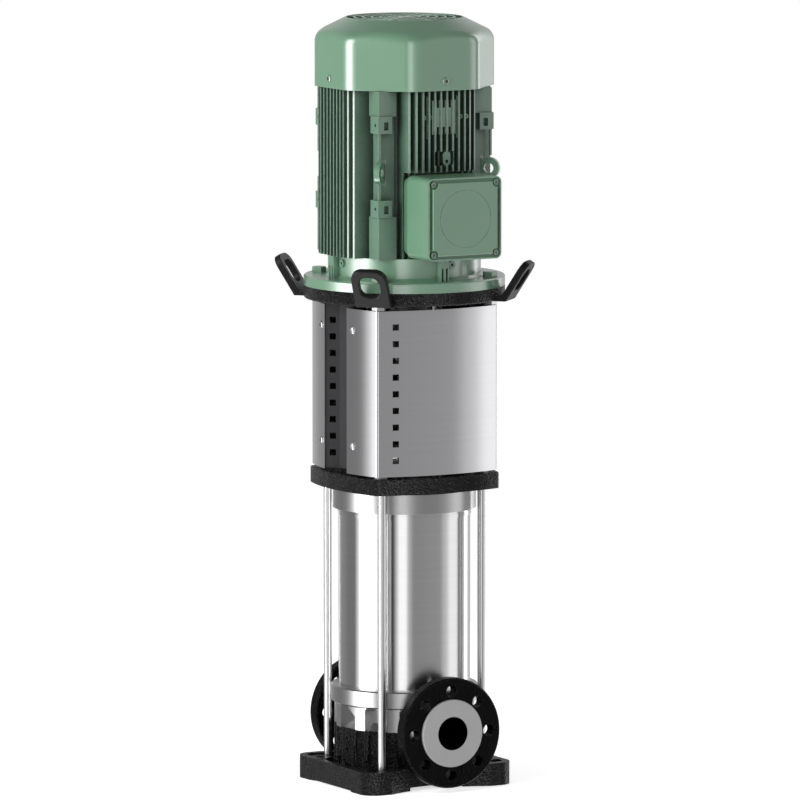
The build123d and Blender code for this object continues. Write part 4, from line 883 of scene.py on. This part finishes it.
def head_rings(radius, height, socket):
    """Distance from the axis and level below the head's top, for every point of a head.

    The dome has distance R sin t and level rim + (height - rim) cos t above the seat.
    A ring of the socket is socket / cos(angle from the middle of the nearest side) off
    the axis."""
    angle = np.linspace(0, 2 * np.pi, head_columns, endpoint=False)
    even = np.ones(head_columns)
    hexagon = socket / np.cos((angle + np.pi / 6) % (np.pi / 3) - np.pi / 6)
    mouth = np.arcsin(flat_round_socket * hexagon.max() / radius)
    t = np.linspace(np.pi / 2, mouth, dome_rings)[:, None]
    rim = rim_share * height
    dome = rim + (height - rim) * np.cos(t)
    reach = np.vstack([radius * even, radius * np.sin(t) * even, hexagon, hexagon])
    level = np.vstack([0 * even, dome * even, dome[-1] * even, socket_floor_share * height * even])
    return angle, reach, level - height


def button_heads(name, node, axes, radius, height, socket):
    """Domed heads on the axes of a node's screws, as one piece that replaces the node."""
    angle, reach, level = head_rings(radius, height, socket)
    heads = []
    faces = []
    for top, normal in axes:
        across = np.cross((0.0, 0.0, 1.0), normal)
        across = across / np.linalg.norm(across)
        upward = np.cross(normal, across)
        circle = np.cos(angle)[:, None] * across + np.sin(angle)[:, None] * upward
        faces += ring_faces(*reach.shape, first=len(heads) * reach.size, cap=True)
        heads.append(top + level[..., None] * normal + reach[..., None] * circle)
    piece = make_piece(name, np.array(heads), faces)
    piece.data.shade_smooth()
    piece.data.set_sharp_from_angle(angle=sharp_above)
    piece.data.materials.append(finishes[slots[node]])
    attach(piece, "pump")
    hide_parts(node)


button_heads("guard_screw_heads", "guard_screws", guard_screw_axes,
             radius=0.0056, height=0.0028, socket=0.0024)
button_heads("cover_screw_heads", "fan_cover_screws", cover_screw_axes,
             radius=0.0057, height=0.0032, socket=0.0023)

# %% [markdown]
# ## The floor's finish
#
# The floor should be as white as the background and still show the shadow, so the camera
# sees it glow a little on top of its own pale colour. A mirror ray goes straight through
# it, so that metal mirrors the room's bands below the horizon too.

# %% Floor finish
floor_shade = (0.90, 0.90, 0.90)
floor_light = (0.93, 0.93, 0.93)
floor_ripples_per_metre = 60.0

floor_finish = Finish("pale_floor", roughness=0.9, bump=0.05)
ripples = floor_finish.effect(orange_peel, Size_per_metre=floor_ripples_per_metre)
floor_finish.colour(floor_finish.mix(ripples["Clouds"], floor_shade, floor_light))
floor_finish.height(ripples["Height"])
floor.data.materials.append(floor_finish.material)

# %% Floor glow
floor_glow = 0.62
tree = floor_finish.tree
rays = tree.nodes.new("ShaderNodeLightPath")


def chosen_by(ray, otherwise, then):
    """The second shader for rays of one kind, and the first for all others."""
    node = tree.nodes.new("ShaderNodeMixShader")
    link(tree, rays.outputs[ray], node.inputs[0])
    link(tree, otherwise.outputs[0], node.inputs[1])
    link(tree, then.outputs[0], node.inputs[2])
    return node


glow = tree.nodes.new("ShaderNodeEmission")
glow.inputs["Strength"].default_value = floor_glow
dark = tree.nodes.new("ShaderNodeEmission")
dark.inputs["Strength"].default_value = 0
both = tree.nodes.new("ShaderNodeAddShader")
link(tree, floor_finish.shader.outputs[0], both.inputs[0])
link(tree, chosen_by("Is Camera Ray", dark, glow).outputs[0], both.inputs[1])
clear = tree.nodes.new("ShaderNodeBsdfTransparent")
seen = chosen_by("Is Glossy Ray", both, clear)
link(tree, seen.outputs[0], tree.nodes["Material Output"].inputs["Surface"])
print("floor nodes:", len(tree.nodes))

# %% [markdown]
# ## Lamps
#
# One broad lamp on the left lights matt surfaces to the level at which a colour looks
# as it is written, and a weak one on the right keeps that side in half shade. The lamps
# are kept out of reflections, because the room bands already draw those.

# %% Soft lamps
lamp_aim = Vector((0, 0, 0.55))


def soft_lamp(name, bearing_degrees, height, distance, size, watts):
    """A square area lamp that looks at the pump's middle from a bearing off the camera."""
    angle = camera_bearing + math.radians(bearing_degrees)
    lamp = bpy.data.lights.new(name, "AREA")
    lamp.energy = watts
    lamp.size = size
    holder = bpy.data.objects.new(name, lamp)
    holder.location = (distance * math.cos(angle), distance * math.sin(angle), height)
    holder.rotation_euler = (lamp_aim - holder.location).to_track_quat("-Z", "Y").to_euler()
    holder.visible_glossy = False
    bpy.context.scene.collection.objects.link(holder)
    print(name, "at", [round(v, 2) for v in holder.location])


soft_lamp("left_lamp", bearing_degrees=-40, height=1.3, distance=3.0, size=1.6, watts=79)
soft_lamp("right_lamp", bearing_degrees=90, height=1.3, distance=3.2, size=1.6, watts=24)
